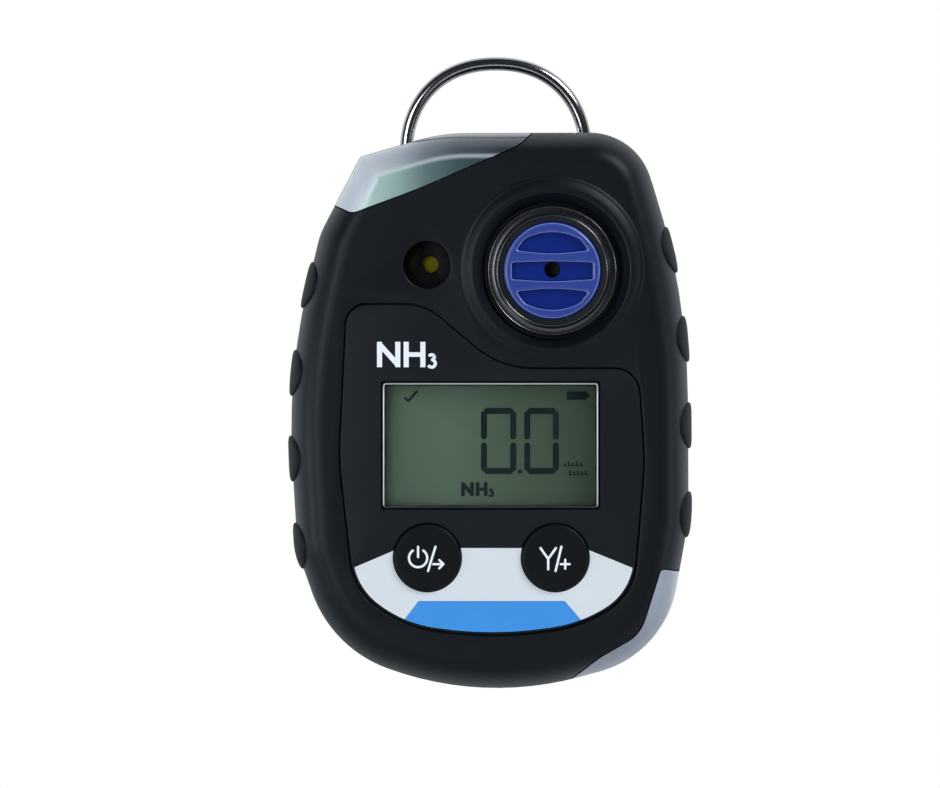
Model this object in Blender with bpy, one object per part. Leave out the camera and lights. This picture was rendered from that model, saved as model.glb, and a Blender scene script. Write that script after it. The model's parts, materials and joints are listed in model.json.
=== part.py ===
"""Portable single-gas detector with a belt clip, built as it comes apart on a bench.

Dimensions are millimetres and become metres at MM. X runs right as the front is read, the
front faces -Y, +Z is up. The origin is where the clip grips: the middle of the case in
X and Z, on the gripping face of the clip plate.
"""
import math

import bmesh
import bpy
import numpy as np
from mathutils import Matrix, Vector

MM = 0.001

# Outlines in front view, round the middle of the case: x, z and radius of each corner
CASE = (
    (-20.3, 39.3, 1.0), (-7.6, 43.0, 29), (22.8, 43.1, 10), (30.9, 18.4, 109),
    (31.1, -17.5, 30.7), (27.3, -38.5, 16.7), (-1.2, -46.2, 49.4), (-24.8, -37.5, 19.6),
    (-30.1, -22.5, 12.6), (-31.8, 5.3, 98), (-26.6, 27.2, 13),
)
FACE = (
    (-22.4, 16.2, 3.4), (-10.2, 16.2, 9), (1.6, 6.2, 14), (23.1, 6.2, 4.2),
    (24.1, -8.0, 40), (22.4, -28.9, 9.7), (14.4, -33.9, 22), (0.5, -36.1, 59),
    (-13.8, -33.9, 19.3), (-21.3, -28.1, 10.5), (-23.6, -8.0, 40),
)
TOP_LENS = (
    (-30.0, 34.3, 0.3), (-21.5, 30.25, 1.8), (-11.0, 34.15, 60), (4.6, 40.9, 8),
    (9.8, 46.1, 0.3), (9.8, 50.0, 0.3), (-30.0, 50.0, 0.3),
)
BOTTOM_LENS = (
    (36.0, -26.3, 0.3), (26.6, -25.0, 0.8), (25.3, -29.2, 25), (23.4, -35.2, 6),
    (17.0, -38.9, 8), (9.5, -44.75, 0.3), (9.5, -50.0, 0.3), (36.0, -50.0, 0.3),
)

# Case section, front to back
FRONT_Y, PARTING_Y, REAR_Y = -23.5, -10.5, -1.5
FRONT_EDGE, REAR_EDGE = 5.2, 4.5          # how far the rounded edge runs in over the face
EDGE_POWER = 2.5
EDGE_STEPS = (0.0, 0.45, 0.72, 0.89, 0.97, 1.0)
HOLLOW_STEPS = (0.0, 0.6, 0.88, 1.0)
SIDE_WALL, INNER_FRONT_Y, INNER_REAR_Y = 2.8, -21.3, -3.1
LENS_WALL, LENS_STEP = 1.6, 0.15           # the upper lens stands in from the edge by its step
GAP = 0.3                                 # between pieces that meet
FIT = 0.25                                # round a piece let into another

# Places on the front, x and z
SENSOR = (9.7, 21.4)
COLLAR = (9.7, 21.85)                     # the well sits a little low in its raised collar
SOUNDER = (-9.83, 22.3)
BUTTONS = {"power": (-9.75, -23.3), "menu": (10.15, -23.3)}
BUTTON_RADIUS, BUTTON_TOP_Y = 5.25, -23.9
WINDOW = (-16.7, 16.85, -15.57, 3.9)      # x low, x high, z low, z high
FACE_FLOOR_Y, FACE_FRONT_Y, FACE_REAR_Y = -22.2, -23.35, -22.5
FILM_FLOOR_Y = -23.1

# Electronics
BOARD_FRONT_Y, BOARD_REAR_Y, BOARD_INSET = -17.8, -16.6, 3.8
SENSOR_RADIUS = 9.8
CELL_RADIUS, CELL_LENGTH, CELL_Y, CELL_Z = 5.25, 44.5, -9.9, -17.0
MOTOR_RADIUS, MOTOR_Y, MOTOR_LEFT, MOTOR_RIGHT = 3.0, -13.0, -16.0, -4.0

# Fasteners, x and z
CASE_SCREWS = ((-20.5, 24.0), (18.2, 34.8), (-19.3, -28.9), (20.3, -29.0))
BOARD_SCREWS = ((-22.8, 6.0), (23.0, -2.0))
CLIP_SCREWS = {"upper": 28.0, "lower": 6.5}
SCREW_CORE = 0.95

# Grips: z of the middle of each pad, half length of a pad, and the strip's two ends
GRIPS = {
    "left": (-1, (19.2, 5.5, -7.9, -21.5), (23.9, -26.2)),
    "right": (1, (24.7, 10.8, -2.7, -16.6), (29.3, -21.3)),
}
PAD_HALF, PAD_HEIGHT, GRIP_DEPTH = 3.6, 0.6, 1.0
GRIP_ROWS_Y = (-20.5, -18.4, -14.0, -9.0, -5.6, -4.5)

# Clip and bail, in y and z
CLIP_HALF_WIDTH, PLATE_REAR_Y, PLATE_FRONT_Y = 7.5, 0.0, -1.2
BAIL_AXIS = (0.9, 35.0)
BAIL_WIRE, BAIL_X, BAIL_HALF, BAIL_SHOULDER_Z, BAIL_TOP_Z = 1.05, 0.95, 14.1, 39.7, 54.0
BAIL_POWER, BAIL_CORNER = 2.2, 2.3
CLIP_AXIS = (3.4, 15.0)
PIN_RADIUS, JAW_SHEET, JAW_HALF_WIDTH = 0.9, 0.8, 7.0
JAW_PATH = (
    (8.2, 30.5), (7.8, 26.0), (5.9, 18.5), (5.8, 15.0), (5.8, 2.0), (5.2, -5.0),
    (3.2, -9.6), (0.62, -12.2),
)
SPRING_WIRE, SPRING_RADIUS, SPRING_TURNS, SPRING_PITCH = 0.25, 1.45, 4, 0.75


# Materials ---------------------------------------------------------------------------------

def material(name, colour, roughness, metallic=0.0, transmission=0.0):
    """A Principled material from an 8-bit sRGB colour."""
    made = bpy.data.materials.new(name)
    made.use_nodes = True
    shader = made.node_tree.nodes["Principled BSDF"]
    linear = [(c / 255 / 12.92 if c < 11 else ((c / 255 + 0.055) / 1.055) ** 2.4) for c in colour]
    shader.inputs["Base Color"].default_value = (*linear, 1.0)
    shader.inputs["Roughness"].default_value = roughness
    shader.inputs["Metallic"].default_value = metallic
    shader.inputs["Transmission Weight"].default_value = transmission
    made.diffuse_color = (*linear, 1.0)
    made.roughness = roughness
    made.metallic = metallic
    return made


def make_materials():
    return {
        "case": material("case_plastic", (23, 28, 32), 0.55),
        "grip": material("grip_rubber", (20, 24, 28), 0.8),
        "panel": material("panel_plastic", (29, 34, 38), 0.45),
        "lens": material("lens_plastic", (150, 160, 172), 0.25, transmission=0.6),
        "white": material("label_white", (210, 219, 226), 0.4),
        "blue": material("strip_blue", (61, 148, 225), 0.35),
        "window": material("window_clear", (200, 210, 205), 0.05, transmission=0.9),
        "lcd": material("lcd_glass", (92, 108, 90), 0.15),
        "backlight": material("backlight_plastic", (170, 185, 150), 0.4),
        "button": material("button_rubber", (14, 17, 20), 0.5),
        "inlet": material("inlet_blue", (24, 42, 132), 0.35),
        "ring": material("ring_gloss", (16, 18, 22), 0.1),
        "filter": material("filter_white", (225, 225, 220), 0.9),
        "steel": material("spring_steel", (190, 190, 188), 0.3, 1.0),
        "chrome": material("bail_chrome", (214, 212, 208), 0.12, 1.0),
        "brass": material("contact_brass", (196, 160, 84), 0.3, 1.0),
        "board": material("board_green", (38, 92, 64), 0.45),
        "chip": material("chip_black", (22, 22, 24), 0.5),
        "inner": material("inner_plastic", (60, 62, 64), 0.6),
        "sensor": material("sensor_plastic", (222, 220, 210), 0.5),
        "led": material("led_clear", (235, 232, 200), 0.15, transmission=0.4),
        "cell": material("cell_sleeve", (66, 104, 78), 0.35),
        "seal": material("seal_rubber", (96, 34, 30), 0.8),
        "label": material("label_grey", (198, 200, 202), 0.5),
    }


# Shapes ------------------------------------------------------------------------------------

def outline(corners, inset=0.0, step_degrees=11.0):
    """The rounded outline through these corners, moved in by inset, as an array of x, z."""
    points = np.array([corner[:2] for corner in corners], float)
    following = np.roll(points, -1, axis=0)
    area = np.sum(points[:, 0] * following[:, 1] - following[:, 0] * points[:, 1]) / 2
    side = 1 if area > 0 else -1
    along = (following - points) / np.linalg.norm(following - points, axis=1)[:, None]
    inward = np.stack([-along[:, 1], along[:, 0]], axis=1) * side
    moved = points + inward * inset
    made = []
    for i, (_, _, radius) in enumerate(corners):
        p, d = moved[i - 1], along[i - 1]
        q, e = moved[i], along[i]
        cross = d[0] * e[1] - d[1] * e[0]
        vertex = p + d * ((q - p)[0] * e[1] - (q - p)[1] * e[0]) / cross
        turn = math.atan2(cross, d @ e)
        fillet = max(radius - inset if turn * side > 0 else radius + inset, 0.3)
        start = vertex - d * fillet * math.tan(abs(turn) / 2)
        hand = 1 if turn > 0 else -1
        centre = start + np.array([-d[1], d[0]]) * hand * fillet
        first = math.atan2(start[1] - centre[1], start[0] - centre[0])
        steps = max(1, math.ceil(abs(math.degrees(turn)) / step_degrees))
        for k in range(steps + 1):
            angle = first + turn * k / steps
            made.append(centre + fillet * np.array([math.cos(angle), math.sin(angle)]))
    return np.array(made)


def rectangle(x_low, x_high, z_low, z_high, radius, inset=0.0):
    corners = (
        (x_low, z_low, radius), (x_high, z_low, radius),
        (x_high, z_high, radius), (x_low, z_high, radius),
    )
    return outline(corners, inset, 20)


def finish_object(name, bm, finish, at):
    """Links the mesh as an object at this place. Without a finish it's a helper, left out of the part."""
    bmesh.ops.recalc_face_normals(bm, faces=bm.faces)
    mesh = bpy.data.meshes.new(name)
    bm.to_mesh(mesh)
    bm.free()
    mesh.transform(Matrix.Scale(MM, 4))
    mesh.shade_smooth()
    mesh.set_sharp_from_angle(angle=math.radians(32))
    made = bpy.data.objects.new(name, mesh)
    made.location = Vector(at) * MM
    bpy.context.scene.collection.objects.link(made)
    if finish:
        mesh.materials.append(finish)
    else:
        made.hide_render = True
        made.display_type = "WIRE"
    return made


def loft(name, rings, finish=None, at=(0, 0, 0), closed=False):
    """A solid through rings of equal point counts. A closed one joins its last ring to its first."""
    bm = bmesh.new()
    rows = [[bm.verts.new(point) for point in ring] for ring in rings]
    pairs = zip(rows, rows[1:] + rows[:1]) if closed else zip(rows, rows[1:])
    for lower, upper in pairs:
        for a in range(len(lower)):
            b = (a + 1) % len(lower)
            bm.faces.new((lower[a], lower[b], upper[b], upper[a]))
    if not closed:
        bm.faces.new(rows[0])
        bm.faces.new(rows[-1])
    return finish_object(name, bm, finish, at)


def prism(name, flat, y_front, y_rear, finish=None, at=(0, 0, 0)):
    """A flat x, z outline given a thickness in y."""
    return loft(name, [[(x, y, z) for x, z in flat] for y in (y_front, y_rear)], finish, at)


def side_prism(name, flat, x_low, x_high, finish=None, at=(0, 0, 0)):
    """A flat y, z outline given a width in x."""
    return loft(name, [[(x, y, z) for y, z in flat] for x in (x_low, x_high)], finish, at)


def turned(name, profile, finish=None, at=(0, 0, 0), axis="Y", segments=32, ring=False):
    """A profile of radius, place along the axis. A ring has a hole; otherwise both ends are flat."""
    rings = []
    for radius, along in profile:
        row = []
        for k in range(segments):
            angle = 2 * math.pi * k / segments
            c, s = radius * math.cos(angle), radius * math.sin(angle)
            row.append((c, along, s) if axis == "Y" else (along, c, s))
        rings.append(row)
    return loft(name, rings, finish, at, closed=ring)


def block(name, x, y, z, finish=None, at=(0, 0, 0)):
    """A box from its low and high x, y and z."""
    flat = ((x[0], z[0]), (x[1], z[0]), (x[1], z[1]), (x[0], z[1]))
    return prism(name, flat, y[0], y[1], finish, at)


def drill(name, place, radius, y_front, y_rear, segments=16):
    return turned(name, ((radius, y_front), (radius, y_rear)), at=(place[0], 0, place[1]), segments=segments)


def wire(name, points, radius, finish, at=(0, 0, 0), cyclic=False, resolution=1):
    """A round wire along these points."""
    curve = bpy.data.curves.new(name, "CURVE")
    curve.dimensions = "3D"
    curve.bevel_depth = radius * MM
    curve.bevel_resolution = resolution
    curve.use_fill_caps = True
    spline = curve.splines.new("POLY")
    spline.points.add(len(points) - 1)
    for point, place in zip(spline.points, points):
        point.co = (*(Vector(place) * MM), 1.0)
    spline.use_cyclic_u = cyclic
    spline.use_smooth = True
    curve.materials.append(finish)
    made = bpy.data.objects.new(name, curve)
    made.location = Vector(at) * MM
    bpy.context.scene.collection.objects.link(made)
    return made


def combine(target, helper, operation):
    modifier = target.modifiers.new(helper.name, "BOOLEAN")
    modifier.object = helper
    modifier.operation = operation


def cut(target, *helpers):
    for helper in helpers:
        combine(target, helper, "DIFFERENCE")


def join(target, *helpers):
    for helper in helpers:
        combine(target, helper, "UNION")


def keep_inside(target, helper):
    combine(target, helper, "INTERSECT")


# The case's form ---------------------------------------------------------------------------

def edge_inset(share, edge_width):
    """How far the rounded edge has come in at this share of the way from parting to face."""
    return edge_width * (1 - (1 - share ** EDGE_POWER) ** (1 / EDGE_POWER))


def case_inset(y):
    """How far the case's surface lies inside its widest outline at this depth."""
    if y <= PARTING_Y:
        return edge_inset((PARTING_Y - y) / (PARTING_Y - FRONT_Y), FRONT_EDGE)
    return edge_inset((y - PARTING_Y) / (REAR_Y - PARTING_Y), REAR_EDGE)


def half_case(name, rim_y, face_y, edge_width, wall=0.0, finish=None):
    """Half of the case's form from its rim to its face, moved in by a wall thickness."""
    rings = []
    for share in HOLLOW_STEPS if wall else EDGE_STEPS:
        y = PARTING_Y + share * (face_y - PARTING_Y) if share else rim_y
        flat = outline(CASE, wall + edge_inset(share, edge_width), 20 if wall else 11)
        rings.append([(x, y, z) for x, z in flat])
    return loft(name, rings, finish)


def case_side_x(z, side):
    """The case's half width on one side at this height."""
    edge = outline(CASE)
    edge = edge[edge[:, 0] * side > 15]
    edge = edge[np.argsort(edge[:, 1])]
    return abs(np.interp(z, edge[:, 1], edge[:, 0]))


def grip_strip(name, side, pads, ends, clearance=0.0, finish=None):
    """A strip let into the side of the case, with pads that stand proud. Clearance makes its groove."""
    top, bottom = ends[0] + clearance, ends[1] - clearance
    heights = {top, bottom}
    if finish:
        for middle in pads:
            heights.update(middle + PAD_HALF * share for share in (-1, -0.8, -0.4, 0.4, 0.8, 1))
    heights.update(np.linspace(bottom, top, 8)[1:-1] if not finish else ())
    rings = []
    for z in sorted(heights):
        half = case_side_x(z, side)
        nearest = min(abs(z - middle) for middle in pads) / PAD_HALF
        lift = PAD_HEIGHT * max(0.0, 1 - nearest ** 4) if finish else 2.0
        outer, inner = [], []
        for row, y in enumerate(GRIP_ROWS_Y):
            reach = y
            if row in (0, len(GRIP_ROWS_Y) - 1):
                reach += math.copysign(clearance, y - PARTING_Y)
            across = 2 * row / (len(GRIP_ROWS_Y) - 1) - 1
            swell = lift * (1 - across ** 4) if finish else lift
            surface = half - case_inset(y)
            outer.append((side * (surface + swell), reach, z))
            inner.append((side * (surface - GRIP_DEPTH - clearance), reach, z))
        rings.append(outer + inner[::-1])
    return loft(name, rings, finish)


def boss(name, place, radius, y_front, y_rear):
    return drill(name, place, radius, y_front, y_rear, 16)


# Shells and front --------------------------------------------------------------------------

def make_front_housing(finish, grooves):
    housing = half_case("front_housing", PARTING_Y - 0.15, FRONT_Y, FRONT_EDGE, finish=finish)
    cavity = half_case("front_cavity", PARTING_Y + 1, INNER_FRONT_Y, 3.6, SIDE_WALL)
    cut(housing, cavity)
    collar = ((14.6, -22.9), (14.35, -23.5), (13.6, -24.1), (12.9, -24.3))
    join(housing, turned("collar", collar, at=(COLLAR[0], 0, COLLAR[1]), segments=40))
    for i, place in enumerate(CASE_SCREWS):
        join(housing, boss(f"front_boss_{i}", place, 2.5, -21.75, -9.8))
        cut(housing, drill(f"front_boss_hole_{i}", place, SCREW_CORE + FIT, -20.5, -9.0))
    for i, place in enumerate(BOARD_SCREWS):
        join(housing, boss(f"post_{i}", place, 1.8, -21.75, BOARD_FRONT_Y - GAP))
        cut(housing, drill(f"post_hole_{i}", place, 1.05, -20.9, BOARD_FRONT_Y))
    well = ((12.5, -24.8), (10.7, -21.9), (9.3, -21.9), (9.3, -20.5))
    cut(housing, turned("sensor_well", well, at=(SENSOR[0], 0, SENSOR[1]), segments=40))
    port = ((4.6, -24.2), (3.9, -23.1), (3.9, -20.6))
    cut(housing, turned("sounder_port", port, at=(SOUNDER[0], 0, SOUNDER[1]), segments=32))
    cut(housing, prism("face_pocket", outline(FACE, -FIT), -25.0, FACE_FLOOR_Y))
    cut(housing, prism("display_opening", rectangle(*WINDOW, 0.8, 1.0), -24.0, -20.5))
    for name, place in BUTTONS.items():
        cut(housing, drill(f"{name}_opening", place, BUTTON_RADIUS + FIT, -24.0, -20.5, 40))
    cut(housing, prism("top_lens_seat", outline(TOP_LENS, -FIT), -30.0, -5.0))
    cut(housing, prism("bottom_lens_seat", outline(BOTTOM_LENS, -FIT), -30.0, -5.0))
    cut(housing, prism("front_rebate", outline(CASE, 1.9, 20), -11.3, -9.5))
    cut(housing, *grooves)


def make_rear_housing(finish, grooves):
    housing = half_case("rear_housing", PARTING_Y + 0.15, REAR_Y, REAR_EDGE, finish=finish)
    cut(housing, half_case("rear_cavity", PARTING_Y - 1, INNER_REAR_Y, 3.2, SIDE_WALL))
    for i, place in enumerate(CASE_SCREWS):
        join(housing, boss(f"rear_boss_{i}", place, 2.7, -9.2, -2.3))
        seat = ((SCREW_CORE + FIT, -10.0), (SCREW_CORE + FIT, -3.6), (2.1, -3.6), (2.1, -0.5))
        cut(housing, turned(f"rear_screw_seat_{i}", seat, at=(place[0], 0, place[1]), segments=24))
    for name, z in CLIP_SCREWS.items():
        join(housing, boss(f"clip_boss_{name}", (0, z), 2.4, -4.9, -2.3))
        cut(housing, drill(f"clip_boss_hole_{name}", (0, z), 1.15, -5.5, -0.5))
    ring = ((6.0, -5.0), (7.2, -5.0), (7.2, -2.3), (6.0, -2.3))
    join(housing, turned("sensor_rib", ring, at=(SENSOR[0], 0, SENSOR[1]), segments=24, ring=True))
    cut(housing, prism("rear_rebate", outline(CASE, 1.9, 20), -11.5, -9.7))
    cut(housing, *grooves)


def make_seal(finish):
    seal = prism("housing_seal", outline(CASE, 2.2, 20), -11.0, -10.0, finish)
    cut(seal, prism("seal_hole", outline(CASE, 2.9, 20), -12.0, -9.0))


def make_lens(name, corners, step, finish):
    """A clear corner of the front shell, hollow and open to the inside."""
    lens = half_case(name, PARTING_Y - 0.15, FRONT_Y, FRONT_EDGE, finish=finish)
    keep_inside(lens, prism(f"{name}_region", outline(corners), -30.0, -5.0))
    if step:
        keep_inside(lens, prism(f"{name}_edge", outline(CASE, step), -30.0, -5.0))
    cut(lens, half_case(f"{name}_hollow", PARTING_Y + 1, FRONT_Y + LENS_WALL, 4.4, LENS_WALL))


def label_region(name, grow=0.0):
    """Where the light film covers the lower face: its top edge climbs to the two buttons."""
    left, right = BUTTONS["power"][0], BUTTONS["menu"][0]
    top, peak = -21.8 + grow, -20.3 + grow
    flat = (
        (-30.0, -28.6 + grow), (left - 0.8, peak), (left + 0.2, top), (right - 0.2, top),
        (right + 0.8, peak), (31.0, -28.5 + grow), (31.0, -42.0), (-30.0, -42.0),
    )
    return prism(name, flat, -26.0, -20.0)


def strip_region(name, grow=0.0):
    flat = (
        (-11.1 - grow, -30.05 + grow), (11.6 + grow, -30.05 + grow),
        (17.2 + grow, -36.5), (-16.1 - grow, -36.5),
    )
    return prism(name, flat, -26.0, -20.0)


def make_face(finish):
    plate = prism("faceplate", outline(FACE), FACE_FRONT_Y, FACE_REAR_Y, finish["panel"])
    cut(plate, prism("faceplate_window", rectangle(*WINDOW, 1.4, -0.75), -25.0, -20.0))
    recess = prism("film_recess", outline(FACE, 0.4), -25.0, FILM_FLOOR_Y)
    keep_inside(recess, label_region("film_recess_region", 0.1))
    cut(plate, recess)
    label = prism("keypad_label", outline(FACE, 0.5), FACE_FRONT_Y, FILM_FLOOR_Y - 0.05, finish["white"])
    keep_inside(label, label_region("keypad_label_region"))
    strip = prism("name_strip", outline(FACE, 0.5), FACE_FRONT_Y, FILM_FLOOR_Y - 0.05, finish["blue"])
    keep_inside(strip, strip_region("name_strip_region"))
    cut(label, strip_region("name_strip_notch", 0.08))
    for name, place in BUTTONS.items():
        opening = drill(f"{name}_face_opening", place, BUTTON_RADIUS + FIT, -25.0, -20.0, 40)
        cut(plate, opening)
        cut(label, opening)
    bezel = prism("display_bezel", rectangle(*WINDOW, 1.2, -0.5), FACE_FRONT_Y, FACE_REAR_Y, finish["white"])
    cut(bezel, prism("bezel_opening", rectangle(*WINDOW, 0.9), -25.0, -20.0))
    prism("display_window", rectangle(*WINDOW, 0.8, 0.15), FACE_FRONT_Y + 0.1, FACE_REAR_Y, finish["window"])


def make_buttons(finish):
    for name, (x, z) in BUTTONS.items():
        profile = (
            (BUTTON_RADIUS - 0.6, 0.0), (BUTTON_RADIUS - 0.15, 0.15), (BUTTON_RADIUS, 0.5),
            (BUTTON_RADIUS, 2.9), (5.75, 2.9), (5.75, 3.4), (1.5, 3.4), (1.5, 3.8),
        )
        turned(f"{name}_button", profile, finish["button"], (x, BUTTON_TOP_Y, z), segments=32)
        switch = block(f"{name}_switch", (-2.6, 2.6), (-19.3, -18.1), (-2.6, 2.6), finish["chip"], (x, 0, z))
        cut(switch, drill(f"{name}_switch_well", (x, z), 1.35, -20.0, -17.0))
        turned(f"{name}_switch_stem", ((1.1, 0.0), (1.1, 1.1)), finish["sensor"], (x, -19.95, z), segments=16)


# Sensor, sounder and electronics -----------------------------------------------------------

def make_sensor(finish):
    x, z = SENSOR
    at = (x, 0, z)
    ring = ((8.95, -22.9), (10.4, -22.9), (10.4, -22.2), (8.95, -22.2))
    turned("inlet_ring", ring, finish["ring"], at, segments=40, ring=True)
    profile = (
        (6.9, -23.1), (7.6, -22.7), (7.6, -22.3), (8.6, -22.2), (8.6, -21.0), (9.9, -21.0), (9.9, -20.4),
    )
    grille = turned("inlet_grille", profile, finish["inlet"], at, segments=40)
    cut(grille, drill("inlet_hole", SENSOR, 1.15, -24.0, -20.0))
    field = turned("field_round", ((6.7, -24.0), (6.7, -22.4)), at=at, segments=40)
    for i, (low, high) in enumerate(((2.7, 8.0), (-1.9, 0.9), (-8.0, -3.7))):
        slot = block(f"inlet_field_{i}", (x - 8, x + 8), (-23.6, -22.4), (z + low, z + high))
        keep_inside(slot, field)
        cut(grille, slot)
    turned("dust_filter", ((7.4, -20.1), (7.4, -19.7)), finish["filter"], at, segments=32)
    seal = ((8.0, -20.1), (9.7, -20.1), (9.7, -19.5), (8.0, -19.5))
    turned("sensor_seal", seal, finish["seal"], at, segments=36, ring=True)
    can = ((SENSOR_RADIUS, -19.2), (SENSOR_RADIUS, -9.2))
    sensor = turned("gas_sensor", can, finish["sensor"], at, segments=40)
    socket = turned("sensor_socket", ((8.6, -8.9), (8.6, -6.6)), finish["chip"], at, segments=36)
    for i in range(3):
        angle = math.radians(90 + 120 * i)
        place = (x + 6.2 * math.cos(angle), z + 6.2 * math.sin(angle))
        join(sensor, drill(f"sensor_pin_{i}", place, 0.5, -9.6, -7.3, 12))
        cut(socket, drill(f"socket_hole_{i}", place, 0.75, -9.5, -7.0, 12))
    turned("sensor_board", ((9.6, -6.3), (9.6, -5.3)), finish["board"], at, segments=36)


def make_sounder(finish):
    at = (SOUNDER[0], 0, SOUNDER[1])
    case = turned("sounder_case", ((6.0, -20.9), (6.3, -20.6), (6.3, -18.1)), finish["chip"], at, segments=32)
    hollow = ((1.45, -21.5), (1.45, -20.1), (5.5, -20.1), (5.5, -18.6))
    cut(case, turned("sounder_hollow", hollow, at=at, segments=28))
    turned("sounder_disc", ((5.2, -19.6), (5.2, -19.3)), finish["brass"], at, segments=28)


def make_display(finish):
    holder = block("lcd_holder", (-19.6, 19.6), (-20.9, -18.1), (-17.25, 6.3), finish["inner"])
    cut(holder, block("lcd_holder_pocket", (-18.6, 18.6), (-22.0, -17.0), (-16.5, 5.5)))
    block("lcd_glass", (-18.3, 18.3), (-20.9, -19.5), (-16.2, 5.2), finish["lcd"])
    block("backlight", (-18.0, 18.0), (-19.2, -18.1), (-14.2, 3.2), finish["backlight"])
    block("lcd_strip_upper", (-15.0, 15.0), (-19.2, -18.1), (3.7, 4.9), finish["seal"])
    block("lcd_strip_lower", (-15.0, 15.0), (-19.2, -18.1), (-15.9, -14.7), finish["seal"])


def make_main_board(finish):
    board = prism("main_board", outline(CASE, BOARD_INSET, 20), BOARD_FRONT_Y, BOARD_REAR_Y, finish["board"])
    cut(board, drill("board_sensor_hole", SENSOR, SENSOR_RADIUS + 0.8, -19.0, -15.0, 40))
    for i, place in enumerate(CASE_SCREWS):
        cut(board, drill(f"board_notch_{i}", place, 3.0, -19.0, -15.0))
    for i, place in enumerate(BOARD_SCREWS):
        cut(board, drill(f"board_hole_{i}", place, 1.05, -19.0, -15.0))
        profile = ((1.7, 1.0), (1.7, 0.0), (0.8, 0.0), (0.8, -4.2))
        at = (place[0], BOARD_REAR_Y + GAP, place[1])
        turned(f"board_screw_{i + 1}", profile, finish["steel"], at, segments=16)
    block("processor_chip", (5.0, 12.0), (-16.3, -15.2), (-2.5, 4.5), finish["chip"])
    for i, (x, z) in enumerate(((-12.6, 35.2), (-7.6, 36.4), (18.3, -34.0))):
        block(f"alarm_led_{i + 1}", (-1.6, 1.6), (-19.4, -18.1), (-1.1, 1.1), finish["led"], (x, 0, z))


def make_battery(finish):
    half = CELL_LENGTH / 2
    at = (0, CELL_Y, CELL_Z)
    profile = ((CELL_RADIUS, -half), (CELL_RADIUS, half), (1.9, half), (1.9, half + 0.8))
    turned("battery_cell", profile, finish["cell"], at, "X", 28)
    tall = (CELL_Z - 6.5, CELL_Z + 6.5)
    cradle = block("battery_cradle", (-25.7, 25.7), (-16.3, -8.5), tall, finish["inner"])
    cut(cradle, block("cradle_hollow", (-24.5, 24.5), (-15.4, -7.0), (CELL_Z - 5.55, CELL_Z + 5.55)))
    block("contact_positive", (23.4, 23.8), (-13.5, -6.5), (CELL_Z - 3.5, CELL_Z + 3.5), finish["brass"])
    turns, points = 2.5, 25
    coil = []
    for k in range(points + 1):
        share = k / points
        angle = 2 * math.pi * turns * share
        radius = 3.4 - 1.8 * share
        coil.append((-24.1 + 1.35 * share, radius * math.cos(angle), radius * math.sin(angle)))
    wire("contact_spring", coil, 0.25, finish["steel"], at)


def make_vibrator(finish):
    at = (0, MOTOR_Y, 0)
    can = ((MOTOR_RADIUS, MOTOR_LEFT), (MOTOR_RADIUS, MOTOR_RIGHT))
    motor = turned("vibration_motor", can, finish["steel"], at, "X", 24)
    bore = ((0.65, MOTOR_LEFT - 1), (0.65, MOTOR_LEFT + 3))
    cut(motor, turned("motor_bore", bore, at=at, axis="X", segments=16))
    turned("motor_shaft", ((0.4, -3.8), (0.4, 2.6)), finish["steel"], (MOTOR_LEFT, MOTOR_Y, 0), "X", 12)
    sector = [(2.7 * math.cos(a), -2.7 * math.sin(a)) for a in np.linspace(0, math.pi, 13)]
    hub = [(1.1 * math.cos(a), 1.1 * math.sin(a)) for a in np.linspace(math.pi, 0, 7)]
    place = (MOTOR_LEFT, MOTOR_Y, 0)
    weight = side_prism("eccentric_weight", sector + hub, -3.4, -0.8, finish["brass"], place)
    bore = ((0.6, MOTOR_LEFT - 5), (0.6, MOTOR_LEFT))
    cut(weight, turned("weight_bore", bore, at=at, axis="X", segments=12))
    clamp = block("motor_clamp", (-12.5, -7.5), (-16.3, -9.0), (-4.1, 4.1), finish["inner"])
    cut(clamp, turned("clamp_bore", ((3.3, -13.5), (3.3, -6.5)), at=at, axis="X", segments=24))
    cut(clamp, block("clamp_mouth", (-13.5, -6.5), (-17.0, MOTOR_Y), (-3.3, 3.3)))


def make_case_screws(finish):
    profile = ((1.85, 0.0), (1.85, -1.3), (SCREW_CORE, -1.3), (SCREW_CORE, -10.5))
    for i, (x, z) in enumerate(CASE_SCREWS):
        screw = turned(f"housing_screw_{i + 1}", profile, finish["steel"], (x, -1.9, z), segments=20)
        for j, (half_x, half_z) in enumerate(((0.9, 0.2), (0.2, 0.9))):
            recess = block(
                f"screw_recess_{i}_{j}", (x - half_x, x + half_x), (-2.6, -1.0), (z - half_z, z + half_z)
            )
            cut(screw, recess)


# Clip and bail -----------------------------------------------------------------------------

def sheet_outline(path, thickness):
    """The outline of a bent sheet along this y, z path."""
    points = np.array(path, float)
    steps = np.diff(points, axis=0)
    steps /= np.linalg.norm(steps, axis=1)[:, None]
    steps = np.vstack([steps[:1], (steps[:-1] + steps[1:]) / 2, steps[-1:]])
    steps /= (steps ** 2).sum(axis=1)[:, None]
    across = np.stack([-steps[:, 1], steps[:, 0]], axis=1) * thickness / 2
    return np.vstack([points + across, (points - across)[::-1]])


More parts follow.
